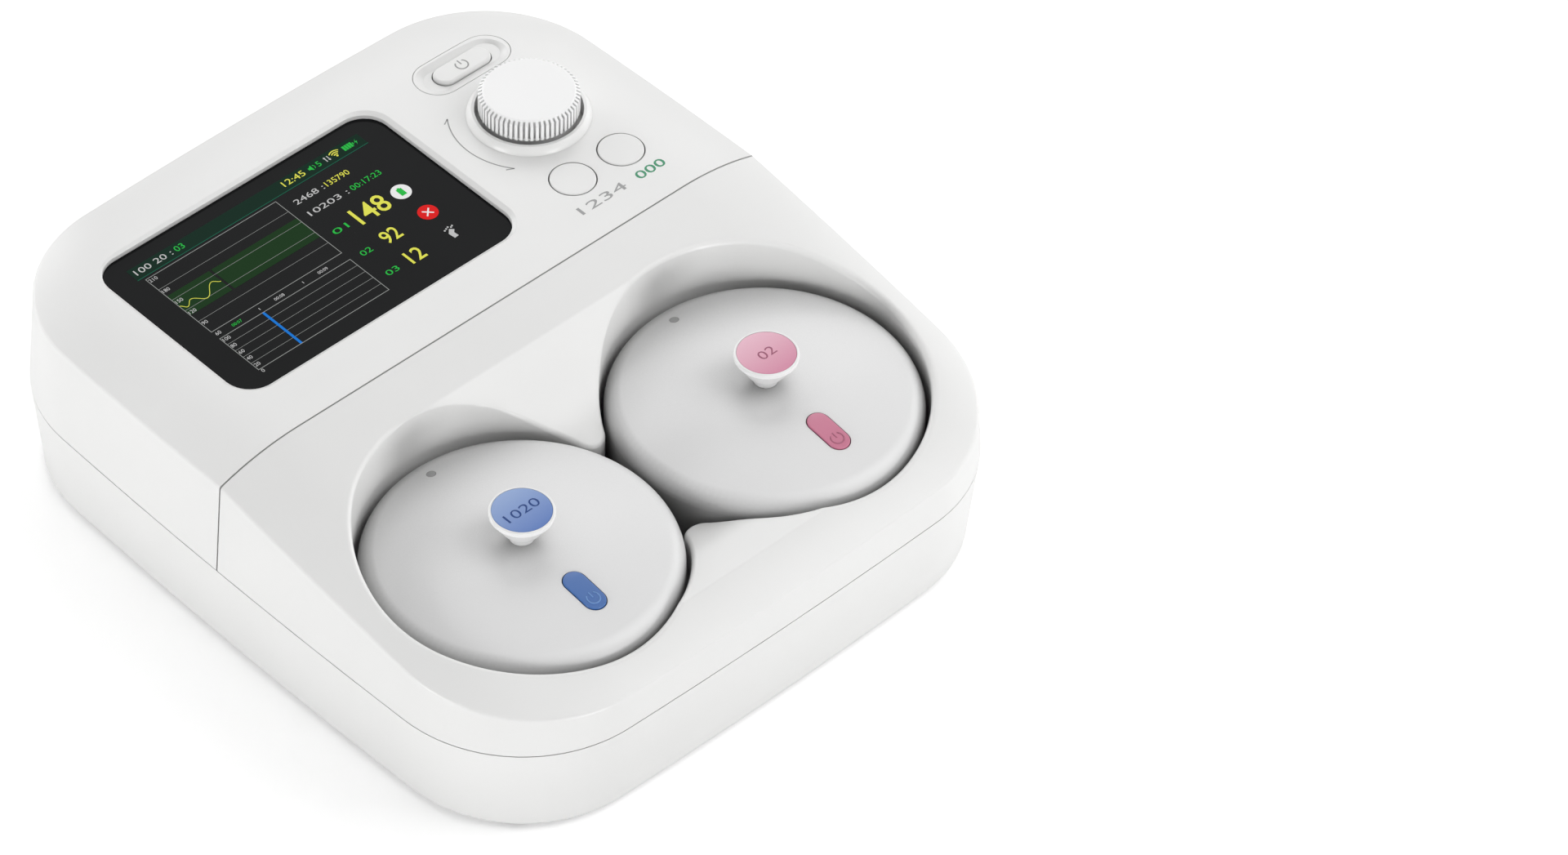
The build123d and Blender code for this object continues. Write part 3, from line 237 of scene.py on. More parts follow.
def black_glass(name, color):
    """Cover glass over a dark panel, with faint smears in its gloss."""
    material, tree, shader = new_material(name)
    smear = noise(tree, SMEAR_SCALE, detail=5)
    tree.links.new(tint(tree, smear.outputs["Fac"], color, 0.08), shader.inputs["Base Color"])
    tree.links.new(spread(tree, smear.outputs["Fac"], 0.05, 0.14), shader.inputs["Roughness"])
    shader.inputs["Specular IOR Level"].default_value = 0.03
    return material


def lit_pixels(name, color, strength=1.0):
    """Part of the picture on the display: its own light, broken up by the pixel grid."""
    material, tree, shader = new_material(name)
    place = tree.nodes.new("ShaderNodeTexCoord")
    grid = tree.nodes.new("ShaderNodeTexBrick")
    grid.offset = 0.0
    grid.inputs["Scale"].default_value = 1 / (PIXEL_PITCH * MM)
    grid.inputs["Brick Width"].default_value = 1.0
    grid.inputs["Row Height"].default_value = 1.0
    grid.inputs["Mortar Size"].default_value = PIXEL_GAP
    grid.inputs["Color1"].default_value = list(color) + [1]
    grid.inputs["Color2"].default_value = [0.97 * c for c in color] + [1]
    grid.inputs["Mortar"].default_value = [0.75 * c for c in color] + [1]
    tree.links.new(place.outputs["Object"], grid.inputs["Vector"])
    shader.inputs["Base Color"].default_value = (0, 0, 0, 1)
    shader.inputs["Roughness"].default_value = 0.3
    shader.inputs["Specular IOR Level"].default_value = 0.0
    shader.inputs["Emission Strength"].default_value = strength
    tree.links.new(grid.outputs["Color"], shader.inputs["Emission Color"])
    return material


def srgb(red, green, blue):
    """Linear colour from 0 to 255 screen values."""
    channels = []
    for value in (red, green, blue):
        share = value / 255
        channels.append(share / 12.92 if share <= 0.04045 else ((share + 0.055) / 1.055) ** 2.4)
    return channels


# painted shade in hollows for the white plastic, the knob, the studs and the probes
WHITE = moulded("white_plastic", srgb(241, 241, 240), painted_shade_hollows=PAINTED_SHADE_HOLLOWS)
# painted highlight: the knob is a lighter copy of the white plastic, for its brightly lit top
KNOB_LIT_WHITE = moulded("knob_lit_plastic", srgb(252, 252, 252), painted_shade_hollows=KNOB_PAINTED_SHADE_HOLLOWS)
STUD_WHITE = moulded("stud_plastic", srgb(246, 246, 246), gloss=0.25, painted_shade_hollows=STUD_PAINTED_SHADE_HOLLOWS)
PROBE_WHITE = moulded("probe_plastic", srgb(237, 237, 237), gloss=0.36, painted_shade_hollows=PROBE_PAINTED_SHADE_HOLLOWS)
BLUE = moulded("blue_plastic", srgb(62, 108, 176), gloss=0.3, drift=0.03)
PINK = moulded("pink_plastic", srgb(206, 120, 148), gloss=0.3, drift=0.03)
# painted highlight on the stud caps: lighter towards their rear end, across this span
CAP_PAINTED_LIGHT_SPAN = (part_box("contraction_stud_cap")[0].y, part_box("contraction_stud_cap")[1].y)
BLUE_CAP = moulded(
    "blue_cap", srgb(52, 104, 184), gloss=0.3, drift=0.02, rear=srgb(140, 168, 216), painted_light_span=CAP_PAINTED_LIGHT_SPAN
)
PINK_CAP = moulded(
    "pink_cap", srgb(210, 124, 156), gloss=0.3, drift=0.02, rear=srgb(238, 186, 204), painted_light_span=CAP_PAINTED_LIGHT_SPAN
)
INK_ON_BLUE = moulded("blue_ink", srgb(38, 70, 134), gloss=0.5, specular=0.2)
INK_ON_PINK = moulded("pink_ink", srgb(150, 70, 100), gloss=0.5)
# painted light: the raised power symbols are lit and shaded copies of the button plastic, lighter on
# the blue button and darker on the pink one
BLUE_RAISED_LIT = moulded("blue_raised_lit", srgb(104, 150, 212), gloss=0.3)
PINK_RAISED_SHADED = moulded("pink_raised_shaded", srgb(176, 92, 122), gloss=0.3)
GREY_INK = moulded("grey_ink", srgb(160, 160, 160), gloss=0.5)
GREEN_INK = moulded("green_ink", srgb(40, 140, 98), gloss=0.5)
LIGHT_PIPE = moulded("light_pipe", srgb(160, 160, 160), gloss=0.4)
RUBBER = moulded("foot_rubber", (0.02, 0.02, 0.02), gloss=0.75, grain=0.3, drift=0.1)
LENS = moulded("lens_rubber", srgb(190, 195, 202), gloss=0.45)
BLACK = moulded("black_plastic", (0.015, 0.015, 0.016), gloss=0.5, grain=0.2, drift=0.08)
BOARD = moulded("circuit_board", (0.01, 0.09, 0.035), gloss=0.4, grain=0.3, drift=0.15)
SLEEVE = moulded("battery_sleeve", (0.03, 0.09, 0.28), gloss=0.35, drift=0.05)
CERAMIC = moulded("ceramic", (0.7, 0.62, 0.48), gloss=0.6, grain=0.3, drift=0.05)
GLASS = black_glass("screen_glass", srgb(24, 25, 26))
STEEL = metal("bright_steel", (0.62, 0.62, 0.63))
GOLD = metal("gold_contact", (0.85, 0.62, 0.25), gloss=0.25)
ALLOY = metal("load_cell_alloy", (0.75, 0.75, 0.76), gloss=0.35)

NODE_MATERIALS = {
    "knob": KNOB_LIT_WHITE,
    "contraction_stud": STUD_WHITE,
    "heartbeat_stud": STUD_WHITE,
    "contraction_stud_cap": BLUE_CAP,
    "heartbeat_stud_cap": PINK_CAP,
}
SLOT_MATERIALS = {
    "white_plastic": WHITE,
    "probe_plastic": PROBE_WHITE,
    "blue_plastic": BLUE,
    "pink_plastic": PINK,
    "screen_glass": GLASS,
    "circuit_board": BOARD,
    "gold_contact": GOLD,
    "battery_sleeve": SLEEVE,
    "bright_steel": STEEL,
    "black_plastic": BLACK,
    "foot_rubber": RUBBER,
    "load_cell_alloy": ALLOY,
    "ceramic": CERAMIC,
    "lens_rubber": LENS,
    "light_pipe": LIGHT_PIPE,
}

WELD_GAP = 0.001
SHARP_ANGLE = 24                # faces that meet at more than this keep a hard edge


def dress_nodes():
    """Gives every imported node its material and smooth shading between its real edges."""
    slots = {entry["node"]: entry["material_slot"] for entry in frame["record"]["subparts"]}
    for name, node in frame["nodes"].items():
        node.data.materials.clear()
        node.data.materials.append(NODE_MATERIALS.get(name) or SLOT_MATERIALS[slots[name]])
        node.data.polygons.foreach_set("use_smooth", [True] * len(node.data.polygons))
        if node.data.has_custom_normals:
            node.data.normals_split_custom_set([(0, 0, 0)] * len(node.data.loops))
        weld = node.modifiers.new("weld", "WELD")
        weld.merge_threshold = WELD_GAP * MM
        edges = node.modifiers.new("edges", "EDGE_SPLIT")
        edges.split_angle = radians(SHARP_ANGLE)
        even = node.modifiers.new("even_normals", "WEIGHTED_NORMAL")
        even.keep_sharp = True


# ---- floor and lights ----------------------------------------------------------------
FLOOR_SIZE = 8
FLOOR_WHITE = 0.98
FLOOR_GLOW = 0.35               # near the object; the floor is full white far from it
GLOW_REACH = (0.5, 1.5)         # metres from the object over which the glow grows


def add_floor():
    """A wide white floor that keeps the object's soft shadow."""
    bpy.ops.mesh.primitive_plane_add(size=FLOOR_SIZE, location=(0, 0, 0))
    floor = bpy.context.object
    floor.name = "floor"
    material, tree, shader = new_material("floor")
    shader.inputs["Base Color"].default_value = (FLOOR_WHITE, FLOOR_WHITE, FLOOR_WHITE, 1)
    shader.inputs["Roughness"].default_value = 0.9
    shader.inputs["Specular IOR Level"].default_value = 0.0
    shader.inputs["Emission Color"].default_value = (1, 1, 1, 1)
    place = tree.nodes.new("ShaderNodeTexCoord")
    away = tree.nodes.new("ShaderNodeVectorMath")
    away.operation = "LENGTH"
    tree.links.new(place.outputs["Object"], away.inputs[0])
    level = tree.nodes.new("ShaderNodeMapRange")
    level.inputs["From Min"].default_value = GLOW_REACH[0]
    level.inputs["From Max"].default_value = GLOW_REACH[1]
    level.inputs["To Min"].default_value = FLOOR_GLOW
    tree.links.new(away.outputs["Value"], level.inputs["Value"])
    path = tree.nodes.new("ShaderNodeLightPath")
    glow = tree.nodes.new("ShaderNodeMath")
    glow.operation = "MULTIPLY"
    tree.links.new(level.outputs["Result"], glow.inputs[0])
    tree.links.new(path.outputs["Is Camera Ray"], glow.inputs[1])
    tree.links.new(glow.outputs[0], shader.inputs["Emission Strength"])
    floor.data.materials.append(material)


def add_world(strength):
    """White surroundings: full white to the eye and in reflections, gentler as light."""
    world = bpy.data.worlds.new("studio")
    world.use_nodes = True
    tree = world.node_tree
    background = tree.nodes["Background"]
    background.inputs["Color"].default_value = (1, 1, 1, 1)
    path = tree.nodes.new("ShaderNodeLightPath")
    seen = tree.nodes.new("ShaderNodeMath")
    seen.operation = "MAXIMUM"
    tree.links.new(path.outputs["Is Camera Ray"], seen.inputs[0])
    tree.links.new(path.outputs["Is Glossy Ray"], seen.inputs[1])
    either = tree.nodes.new("ShaderNodeMath")
    either.operation = "MAXIMUM"
    tree.links.new(seen.outputs[0], either.inputs[0])
    tree.links.new(path.outputs["Is Transmission Ray"], either.inputs[1])
    level = tree.nodes.new("ShaderNodeMapRange")
    level.inputs["To Min"].default_value = strength
    level.inputs["To Max"].default_value = 1.0
    tree.links.new(either.outputs[0], level.inputs["Value"])
    tree.links.new(level.outputs["Result"], background.inputs["Strength"])
    bpy.context.scene.world = world


# name: azimuth the light comes from, its elevation, its size in metres, its watts
SOFTBOXES = {
    "left_low": (-90, 4, 0.45, 13.7),
    "front_low": (0, 4, 0.45, 10.0),
    "back_low": (180, 12, 1.0, 6.4),
    "left_back_low": (-135, 12, 1.0, 4.5),
    "right_front": (45, 40, 1.0, 7.8),
    "right_back": (135, 40, 1.0, 6.3),
    "back": (180, 40, 1.0, 2.4),
    "right_front_high": (45, 70, 1.0, 4.6),
    "right_low": (90, 12, 1.0, 5.0),
}
SOFTBOX_DISTANCE = 1.6
WORLD_STRENGTH = 0.1


def add_softboxes():
    """Square soft lights round the object, all aimed at the dock's middle."""
    for name, (azimuth, elevation, size, watts) in SOFTBOXES.items():
        turn = radians(azimuth)
        rise = radians(elevation)
        towards = Vector((sin(turn) * cos(rise), -cos(turn) * cos(rise), sin(rise)))
        data = bpy.data.lights.new(name, "AREA")
        data.shape = "SQUARE"
        data.size = size
        data.energy = watts
        light = bpy.data.objects.new(name, data)
        light.location = CAMERA_AIM + towards * SOFTBOX_DISTANCE
        light.rotation_euler = towards.to_track_quat("Z", "Y").to_euler()
        bpy.context.collection.objects.link(light)


# ---- thin printed and lit marks --------------------------------------------------------
LETTER_TO_FIGURE = 1.4          # font size over the height of its figures
MITRE_LIMIT = 0.4               # keeps sharp corners of a line from growing long
POWER_GAP = 38                  # degrees from the bar to either end of the open ring
POWER_BAR = (0.1, 1.12)         # foot and top of the bar, in radii of the ring


class Ink:
    """Flat shapes in millimetres, made into one thin closed piece that lies on a surface."""

    def __init__(self, thickness=0.02):
        self.mesh = bmesh.new()
        self.thickness = thickness

    def prism(self, outline):
        """Adds a closed plate with this outline, given anticlockwise."""
        lower = [self.mesh.verts.new((x, y, 0)) for x, y in outline]
        upper = [self.mesh.verts.new((x, y, self.thickness)) for x, y in outline]
        self.mesh.faces.new(list(reversed(lower)))
        self.mesh.faces.new(upper)
        for i in range(len(outline)):
            j = (i + 1) % len(outline)
            self.mesh.faces.new((lower[i], lower[j], upper[j], upper[i]))

    def bar(self, left, bottom, right, top):
        """A rectangle."""
        self.prism([(left, bottom), (right, bottom), (right, top), (left, top)])

    def disc(self, x, y, radius, steps=40):
        """A round plate."""
        turns = [2 * pi * i / steps for i in range(steps)]
        self.prism([(x + radius * cos(a), y + radius * sin(a)) for a in turns])

    def stroke(self, points, width):
        """A line of even width through the points, mitred at its corners."""
        path = [Vector(point) for point in points]
        left = []
        right = []
        for i, point in enumerate(path):
            before = (point - path[i - 1]).normalized() if i else None
            after = (path[i + 1] - point).normalized() if i + 1 < len(path) else None
            along = ((before or after) + (after or before)).normalized()
            side = Vector((-along.y, along.x))
            lean = max(MITRE_LIMIT, along.dot(after or before))
            left.append(point + side * width / 2 / lean)
            right.append(point - side * width / 2 / lean)
        for i in range(len(path) - 1):
            self.prism([right[i][:], right[i + 1][:], left[i + 1][:], left[i][:]])

    def frame_lines(self, left, bottom, right, top, width):
        """The four sides of a rectangle."""
        self.bar(left, bottom, right, bottom + width)
        self.bar(left, top - width, right, top)
        self.bar(left, bottom + width, left + width, top - width)
        self.bar(right - width, bottom + width, right, top - width)

    def arc(self, x, y, radius, start, end, width, steps=28):
        """Part of a ring, from start to end in degrees."""
        turns = [radians(start + (end - start) * i / steps) for i in range(steps + 1)]
        self.stroke([(x + radius * cos(a), y + radius * sin(a)) for a in turns], width)

    def digits(self, text, left, bottom, height, width=None, bold=0.0):
        """Plain figures of the given height, and of the given width if there is one."""
        curve = bpy.data.curves.new("figures", "FONT")
        curve.body = text
        curve.size = height * LETTER_TO_FIGURE
        curve.offset = bold * height
        curve.extrude = self.thickness / 2
        curve.resolution_u = 3
        figure = bpy.data.objects.new("figures", curve)
        bpy.context.collection.objects.link(figure)
        bpy.context.view_layer.update()
        depsgraph = bpy.context.evaluated_depsgraph_get()
        shape = bpy.data.meshes.new_from_object(figure.evaluated_get(depsgraph))
        low = Vector([min(v.co[i] for v in shape.vertices) for i in range(3)])
        high = Vector([max(v.co[i] for v in shape.vertices) for i in range(3)])
        tall = height / (high.y - low.y)
        wide = width / (high.x - low.x) if width else tall
        shape.transform(
            Matrix.Translation((left, bottom, 0))
            @ Matrix.Diagonal((wide, tall, 1, 1))
            @ Matrix.Translation(-low)
        )
        self.mesh.from_mesh(shape)
        bpy.data.objects.remove(figure)
        bpy.data.curves.remove(curve)
        bpy.data.meshes.remove(shape)

    def power_symbol(self, x, y, radius, width):
        """An open ring with an upright bar in its gap."""
        self.arc(x, y, radius, 90 + POWER_GAP, 450 - POWER_GAP, width)
        foot, top = POWER_BAR
        self.bar(x - width / 2, y + foot * radius, x + width / 2, y + top * radius)

    def lay(self, name, material, body, surface):
        """Lays the shapes on a surface, given as height by place, and hangs them on a body."""
        for vert in self.mesh.verts:
            vert.co.z += surface(vert.co.x, vert.co.y)
        bmesh.ops.recalc_face_normals(self.mesh, faces=self.mesh.faces)
        shape = bpy.data.meshes.new(name)
        self.mesh.to_mesh(shape)
        self.mesh.free()
        shape.transform(Matrix.Scale(MM, 4))
        shape.materials.append(material)
        piece = bpy.data.objects.new(name, shape)
        bpy.context.collection.objects.link(piece)
        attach(piece, body)
        return piece


def top_of(node):
    """Height of a node's highest point, in millimetres."""
    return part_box(node)[1].z / MM


def middle_of(node):
    """Middle of a node in plan, in millimetres."""
    low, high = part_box(node)
    return (low.x + high.x) / 2 / MM, (low.y + high.y) / 2 / MM


# ---- the picture on the display ----------------------------------------------------------
SCREEN_GREY = lit_pixels("screen_grey", srgb(196, 196, 196))
SCREEN_GREEN = lit_pixels("screen_green", srgb(52, 190, 78))
SCREEN_YELLOW = lit_pixels("screen_yellow", srgb(228, 228, 92))
SCREEN_LINES = lit_pixels("screen_lines", srgb(150, 152, 150))
SCREEN_BAND = lit_pixels("screen_band", srgb(37, 62, 38))
SCREEN_HEADER = lit_pixels("screen_header", srgb(32, 52, 43))
SCREEN_UNDERLINE = lit_pixels("screen_underline", srgb(38, 98, 78))
SCREEN_BLUE = lit_pixels("screen_blue", srgb(36, 122, 214))
SCREEN_RED = lit_pixels("screen_red", srgb(224, 42, 42))
SCREEN_WHITE = lit_pixels("screen_white", srgb(240, 240, 240))

GLASS_TOP = top_of("display_glass")
FIRST_LAYER = 0.015             # glass to the lowest layer of the picture
LAYER_STEP = 0.03               # one layer to the next

HEADER = (-64.5, 77.5, 19.3, 82.6)      # left, bottom, right, top
UNDERLINE = 0.25
HEADER_FOOT = 79.2              # foot of the figures in the header

CHART_LEFT = -62.7
CHART_RIGHT = -15.6
UPPER_CHART = (48.6, 76.6)      # bottom and top
LOWER_CHART = (28.9, 45.3)
CHART_ROWS = 5
CHART_LINE = 0.112
CHART_FRAME = 0.208
CHART_EDGE = 0.2                # chart's frame to what lies inside it
NORMAL_BAND = (57.6, 67.6)
NOW_X = -47.2                   # the moment now, on both charts
NOW_GAP = (0.3, 0.5)            # gap in the band before and after it
NOW_WIDTH = 0.8
TRACE = ((-62.5, 62.2), (-60.9, 60.6), (-58.4, 62.4), (-54.6, 59.7), (-49.8, 63.8), (-47.6, 62.3))
TRACE_STEPS = 8                 # between one crest and the next
TRACE_WIDTH = 0.2

SCALE_LEFT = CHART_LEFT + 0.4
SCALE_HEIGHT = 1.3
UPPER_SCALE = (210, 180, 150, 120, 90, 60)
LOWER_SCALE = (100, 80, 60, 40, 20)
UPPER_DROP = 2.0                # line of a scale to the foot of its figures
LOWER_DROP = 1.9
LAST_DROP = 1.5
TIMES_FOOT = 46.3
TIMES_HEIGHT = 1.1
TIMES = (("00:08", -41.6), ("00:09", -25.9))
TICKS = (-47.1, -31.4)
TICK_WIDTH = 0.2
TICK_SPAN = (46.4, 47.3)

FIGURES_LEFT = -12.2            # the column of readings right of the charts
VALUES_LEFT = -3.9
UPPER_NOTE = 71.4               # feet of the two notes above the readings
LOWER_NOTE = 65.4
NOTE_HEIGHT = 2.1
# notes by colour: figures, left end, foot, height and, where it is set, width
YELLOW_NOTES = (
    ("12:45", -9.8, HEADER_FOOT, 2.3, 7.8),
    ("135790", -0.9, UPPER_NOTE, NOTE_HEIGHT, 8.3),
)
GREEN_NOTES = (
    ("03", -49.0, HEADER_FOOT, 2.2, 3.1),
    ("5", 2.6, HEADER_FOOT, NOTE_HEIGHT, 1.3),
    ("00:07", -56.8, TIMES_FOOT, TIMES_HEIGHT),
    ("00:17:23", 3.2, LOWER_NOTE, NOTE_HEIGHT, 10.7),
)
GREY_NOTES = (
    ("100 20 :", -63.2, HEADER_FOOT, 2.2, 13.0),
    ("2468 :", FIGURES_LEFT, UPPER_NOTE, NOTE_HEIGHT, 10.4),
    ("10203 :", FIGURES_LEFT, LOWER_NOTE, NOTE_HEIGHT, 14.2),
)
# small number, its foot, height and width
LABELS = (("01", 55.1, 2.2, 5.2), ("02", 43.6, 2.1, 3.8), ("03", 33.0, 2.1, 4.3))
# large value, its foot, height and width
VALUES = (("148", 53.1, 7.1, 11.4), ("92", 42.5, 5.2, 5.8), ("12", 32.1, 5.2, 5.3))
VALUE_BOLD = 0.012

SIGN_X = 12.8                   # the two round signs beside the readings
SIGN_RADIUS = 3.0
CHARGE_SIGN_Y = 56.3
CROSS_SIGN_Y = 45.1
# half width, foot and top of the cell and of its tip, from the disc's centre
CHARGE_SIGN = ((0.9, -1.6, 1.3), (0.4, 1.3, 1.7))
CROSS_REACH = 1.7
CROSS_WIDTH = 0.45
FOOT_SOLE = ((12.2, 32.4), (12.0, 34.4), (13.1, 35.6))
SOLE_WIDTH = 1.5
TOES = ((11.2, 36.3), (12.0, 36.6), (12.8, 36.9), (13.5, 36.3), (14.1, 36.6))
TOE_RADIUS = 0.3

# signs in the header, each drawn from its own lower left corner
SPEAKER_X = -0.4
SPEAKER = ((0, 0.6), (0.5, 0.6), (1.3, -0.1), (1.3, 2.2), (0.5, 1.5), (0, 1.5))
SOUND_CENTRE = (1.2, 1.05)      # of the arc before the speaker
SOUND_RADIUS = 1.0
SOUND_SPAN = (-50, 50)
SOUND_WIDTH = 0.2
BOLT_X = 16.4
BOLT = ((0.3, -0.1), (1.1, 1.2), (0.5, 1.2), (1.0, 2.2), (0, 0.9), (0.6, 0.9))
SIGNAL_X = 9.4
SIGNAL_ARCS = (1.0, 1.75, 2.5)
SIGNAL_SPAN = (48, 132)
SIGNAL_WIDTH = 0.36
SIGNAL_DOT = 0.35
SIGNAL_LIFT = 0.1               # the dot above, and the arcs' centre below the header's foot
CELLS = 4                       # the bars of the charge, then its tip
CELLS_X = 12.3
CELL_PITCH = 0.85
CELL_WIDTH = 0.7
CELL_HEIGHT = 2.0
CELL_TIP = (15.75, 79.8, 16.1, 80.6)
ARROWS = ((5.8, 1), (6.9, -1))  # place, and whether it points up or down
ARROW_STEM = 0.15
ARROW_HEAD = (0.45, 0.6)        # half its width, and its length
ARROW_MIDDLE = 80.25
ARROW_REACH = 1.1


def on_glass(layer):
    """A flat surface just above the glass; higher layers lie over lower ones."""
    return lambda x, y: GLASS_TOP + FIRST_LAYER + LAYER_STEP * layer


def shifted(outline, x, y):
    """An outline moved from its own corner to a place."""
    return [(x + across, y + up) for across, up in outline]


def draw_charts():
    """Two charts with their lines, the normal band, the trace and the figures beside them."""
    band = Ink()
    band.bar(CHART_LEFT + CHART_EDGE, NORMAL_BAND[0], NOW_X - NOW_GAP[0], NORMAL_BAND[1])
    band.bar(NOW_X + NOW_GAP[1], NORMAL_BAND[0], CHART_RIGHT - CHART_EDGE, NORMAL_BAND[1])
    band.lay("screen_band", SCREEN_BAND, "dock", on_glass(0))

    lines = Ink()
    for bottom, top in (UPPER_CHART, LOWER_CHART):
        lines.frame_lines(CHART_LEFT, bottom, CHART_RIGHT, top, CHART_FRAME)
        for row in range(1, CHART_ROWS):
            height = bottom + (top - bottom) * row / CHART_ROWS
            lines.bar(
                CHART_LEFT + CHART_EDGE, height, CHART_RIGHT - CHART_EDGE, height + CHART_LINE
            )
    lines.lay("screen_chart_lines", SCREEN_LINES, "dock", on_glass(1))

    trace = Ink()
    curve = []
    for (x0, y0), (x1, y1) in zip(TRACE, TRACE[1:]):
        for step in range(TRACE_STEPS):
            share = step / TRACE_STEPS
            curve.append((x0 + (x1 - x0) * share, y0 + (y1 - y0) * (1 - cos(pi * share)) / 2))
    trace.stroke(curve + [TRACE[-1]], TRACE_WIDTH)
    trace.lay("screen_trace", SCREEN_YELLOW, "dock", on_glass(2))

    now = Ink()
    low, high = LOWER_CHART
    now.bar(NOW_X - NOW_WIDTH / 2, low + CHART_EDGE, NOW_X + NOW_WIDTH / 2, high - CHART_EDGE)
    now.lay("screen_now_line", SCREEN_BLUE, "dock", on_glass(2))

    scale = Ink()
    upper_step = (UPPER_CHART[1] - UPPER_CHART[0]) / CHART_ROWS
    for i, value in enumerate(UPPER_SCALE):
        scale.digits(str(value), SCALE_LEFT, UPPER_CHART[1] - i * upper_step - UPPER_DROP, SCALE_HEIGHT)
    lower_step = (LOWER_CHART[1] - LOWER_CHART[0]) / CHART_ROWS
    for i, value in enumerate(LOWER_SCALE):
        scale.digits(str(value), SCALE_LEFT, LOWER_CHART[1] - i * lower_step - LOWER_DROP, SCALE_HEIGHT)
    scale.digits("0", SCALE_LEFT, LOWER_CHART[0] - LAST_DROP, SCALE_HEIGHT)
    for x in TICKS:
        scale.bar(x, TICK_SPAN[0], x + TICK_WIDTH, TICK_SPAN[1])
    for value, left in TIMES:
        scale.digits(value, left, TIMES_FOOT, TIMES_HEIGHT)
    scale.lay("screen_scale_figures", SCREEN_GREY, "dock", on_glass(2))


def draw_header():
    """Band along the top of the picture, with its underline."""
    left, bottom, right, top = HEADER
    band = Ink()
    band.bar(left, bottom, right, top)
    band.lay("screen_header", SCREEN_HEADER, "dock", on_glass(0))
    underline = Ink()
    underline.bar(left, bottom, right, bottom + UNDERLINE)
    underline.lay("screen_underline", SCREEN_UNDERLINE, "dock", on_glass(1))


def draw_yellow_figures():
    """The time, the three large readings, a note and the strength of the signal."""
    yellow = Ink()
    for note in YELLOW_NOTES:
        yellow.digits(*note)
    for value, foot, height, width in VALUES:
        yellow.digits(value, VALUES_LEFT, foot, height, width, bold=VALUE_BOLD)
    yellow.disc(SIGNAL_X, HEADER_FOOT + SIGNAL_LIFT, SIGNAL_DOT)
    for radius in SIGNAL_ARCS:
        yellow.arc(
            SIGNAL_X, HEADER_FOOT - SIGNAL_LIFT, radius, *SIGNAL_SPAN, SIGNAL_WIDTH, steps=10
        )
    yellow.lay("screen_yellow_figures", SCREEN_YELLOW, "dock", on_glass(2))


def draw_green_figures():
    """The small numbers, and the signs for sound and charge in the header."""
    green = Ink()
    for note in GREEN_NOTES:
        green.digits(*note)
    for label, foot, height, width in LABELS:
        green.digits(label, FIGURES_LEFT, foot, height, width)
    green.prism(shifted(SPEAKER, SPEAKER_X, HEADER_FOOT))
    across, up = SOUND_CENTRE
    green.arc(
        SPEAKER_X + across, HEADER_FOOT + up, SOUND_RADIUS, *SOUND_SPAN, SOUND_WIDTH, steps=8
    )
    for i in range(CELLS):
        left = CELLS_X + CELL_PITCH * i
        green.bar(left, HEADER_FOOT, left + CELL_WIDTH, HEADER_FOOT + CELL_HEIGHT)
    green.bar(*CELL_TIP)
    green.prism(shifted(BOLT, BOLT_X, HEADER_FOOT))
    green.lay("screen_green_figures", SCREEN_GREEN, "dock", on_glass(2))


def draw_grey_figures():
    """The notes, the two arrows in the header and the small foot."""
    grey = Ink()
    for note in GREY_NOTES:
        grey.digits(*note)
    for x, sign in ARROWS:
        grey.bar(x - ARROW_STEM, HEADER_FOOT, x + ARROW_STEM, HEADER_FOOT + CELL_HEIGHT)
        tip = ARROW_MIDDLE + sign * ARROW_REACH
        wide, long = ARROW_HEAD
        grey.prism([(x - wide, tip - sign * long), (x + wide, tip - sign * long), (x, tip)][::sign])
    grey.stroke(FOOT_SOLE, SOLE_WIDTH)
    for x, y in TOES:
        grey.disc(x, y, TOE_RADIUS, steps=12)
    grey.lay("screen_grey_figures", SCREEN_GREY, "dock", on_glass(2))


def draw_round_signs():
    """A charged cell on a white disc and a cross on a red one."""
    for name, y, material in (
        ("screen_white_disc", CHARGE_SIGN_Y, SCREEN_WHITE),
        ("screen_red_disc", CROSS_SIGN_Y, SCREEN_RED),
    ):
        disc = Ink()
        disc.disc(SIGN_X, y, SIGN_RADIUS)
        disc.lay(name, material, "dock", on_glass(1))
    charge = Ink()
    for half, foot, top in CHARGE_SIGN:
        charge.bar(SIGN_X - half, CHARGE_SIGN_Y + foot, SIGN_X + half, CHARGE_SIGN_Y + top)
    charge.lay("screen_charge_sign", SCREEN_GREEN, "dock", on_glass(2))
    cross = Ink()
    for turn in (45, 135):
        reach = Vector((cos(radians(turn)), sin(radians(turn)))) * CROSS_REACH
        centre = Vector((SIGN_X, CROSS_SIGN_Y))
        cross.stroke([(centre - reach)[:], (centre + reach)[:]], CROSS_WIDTH)
    cross.lay("screen_cross_sign", SCREEN_WHITE, "dock", on_glass(2))


# ---- marks printed on the dock and the probes ------------------------------------------
DECK = 65.8
CROWN_START = 70.5
CROWN_RADIUS = 80.0
PRINT_LIFT = 0.004              # surface to the print on it
ARROW_RADIUS = 23.0
ARROW_SPAN = (143.5, 217.7)
ARROW_WIDTH = 0.34
BARB_LENGTH = 2.4
BARB_LEAN = 0.45                # how far a barb leans outwards from the arrow's line
KEY_FIGURES_FOOT = 13.8
LEFT_FIGURES = ("1234", 42.4, 17.0)     # figures under a round key, left end and width
RIGHT_FIGURES = ("000", 63.9, 10.2)
RIGHT_BOLD = 0.01
MARK_HEIGHT = 3.2
POWER_SYMBOL_RADIUS = 1.85
KEY_SYMBOL_WIDTH = 0.42
BUTTON_SYMBOL_WIDTH = 0.4
BUTTON_SYMBOL_HEIGHT = 0.12
SYMBOL_INSET = 5.05             # button's front end to the middle of its symbol
DOME_RADIUS = 186.6
BUTTON_RISE = 0.35              # button's face above the probe's dome
CAP_BOLD = -0.004


def on_deck(x, y):
    """Height of the rear deck, which rounds off towards its sides."""
    beyond = max(0, abs(x) - CROWN_START)
    return DECK + PRINT_LIFT - CROWN_RADIUS + sqrt(CROWN_RADIUS**2 - beyond**2)


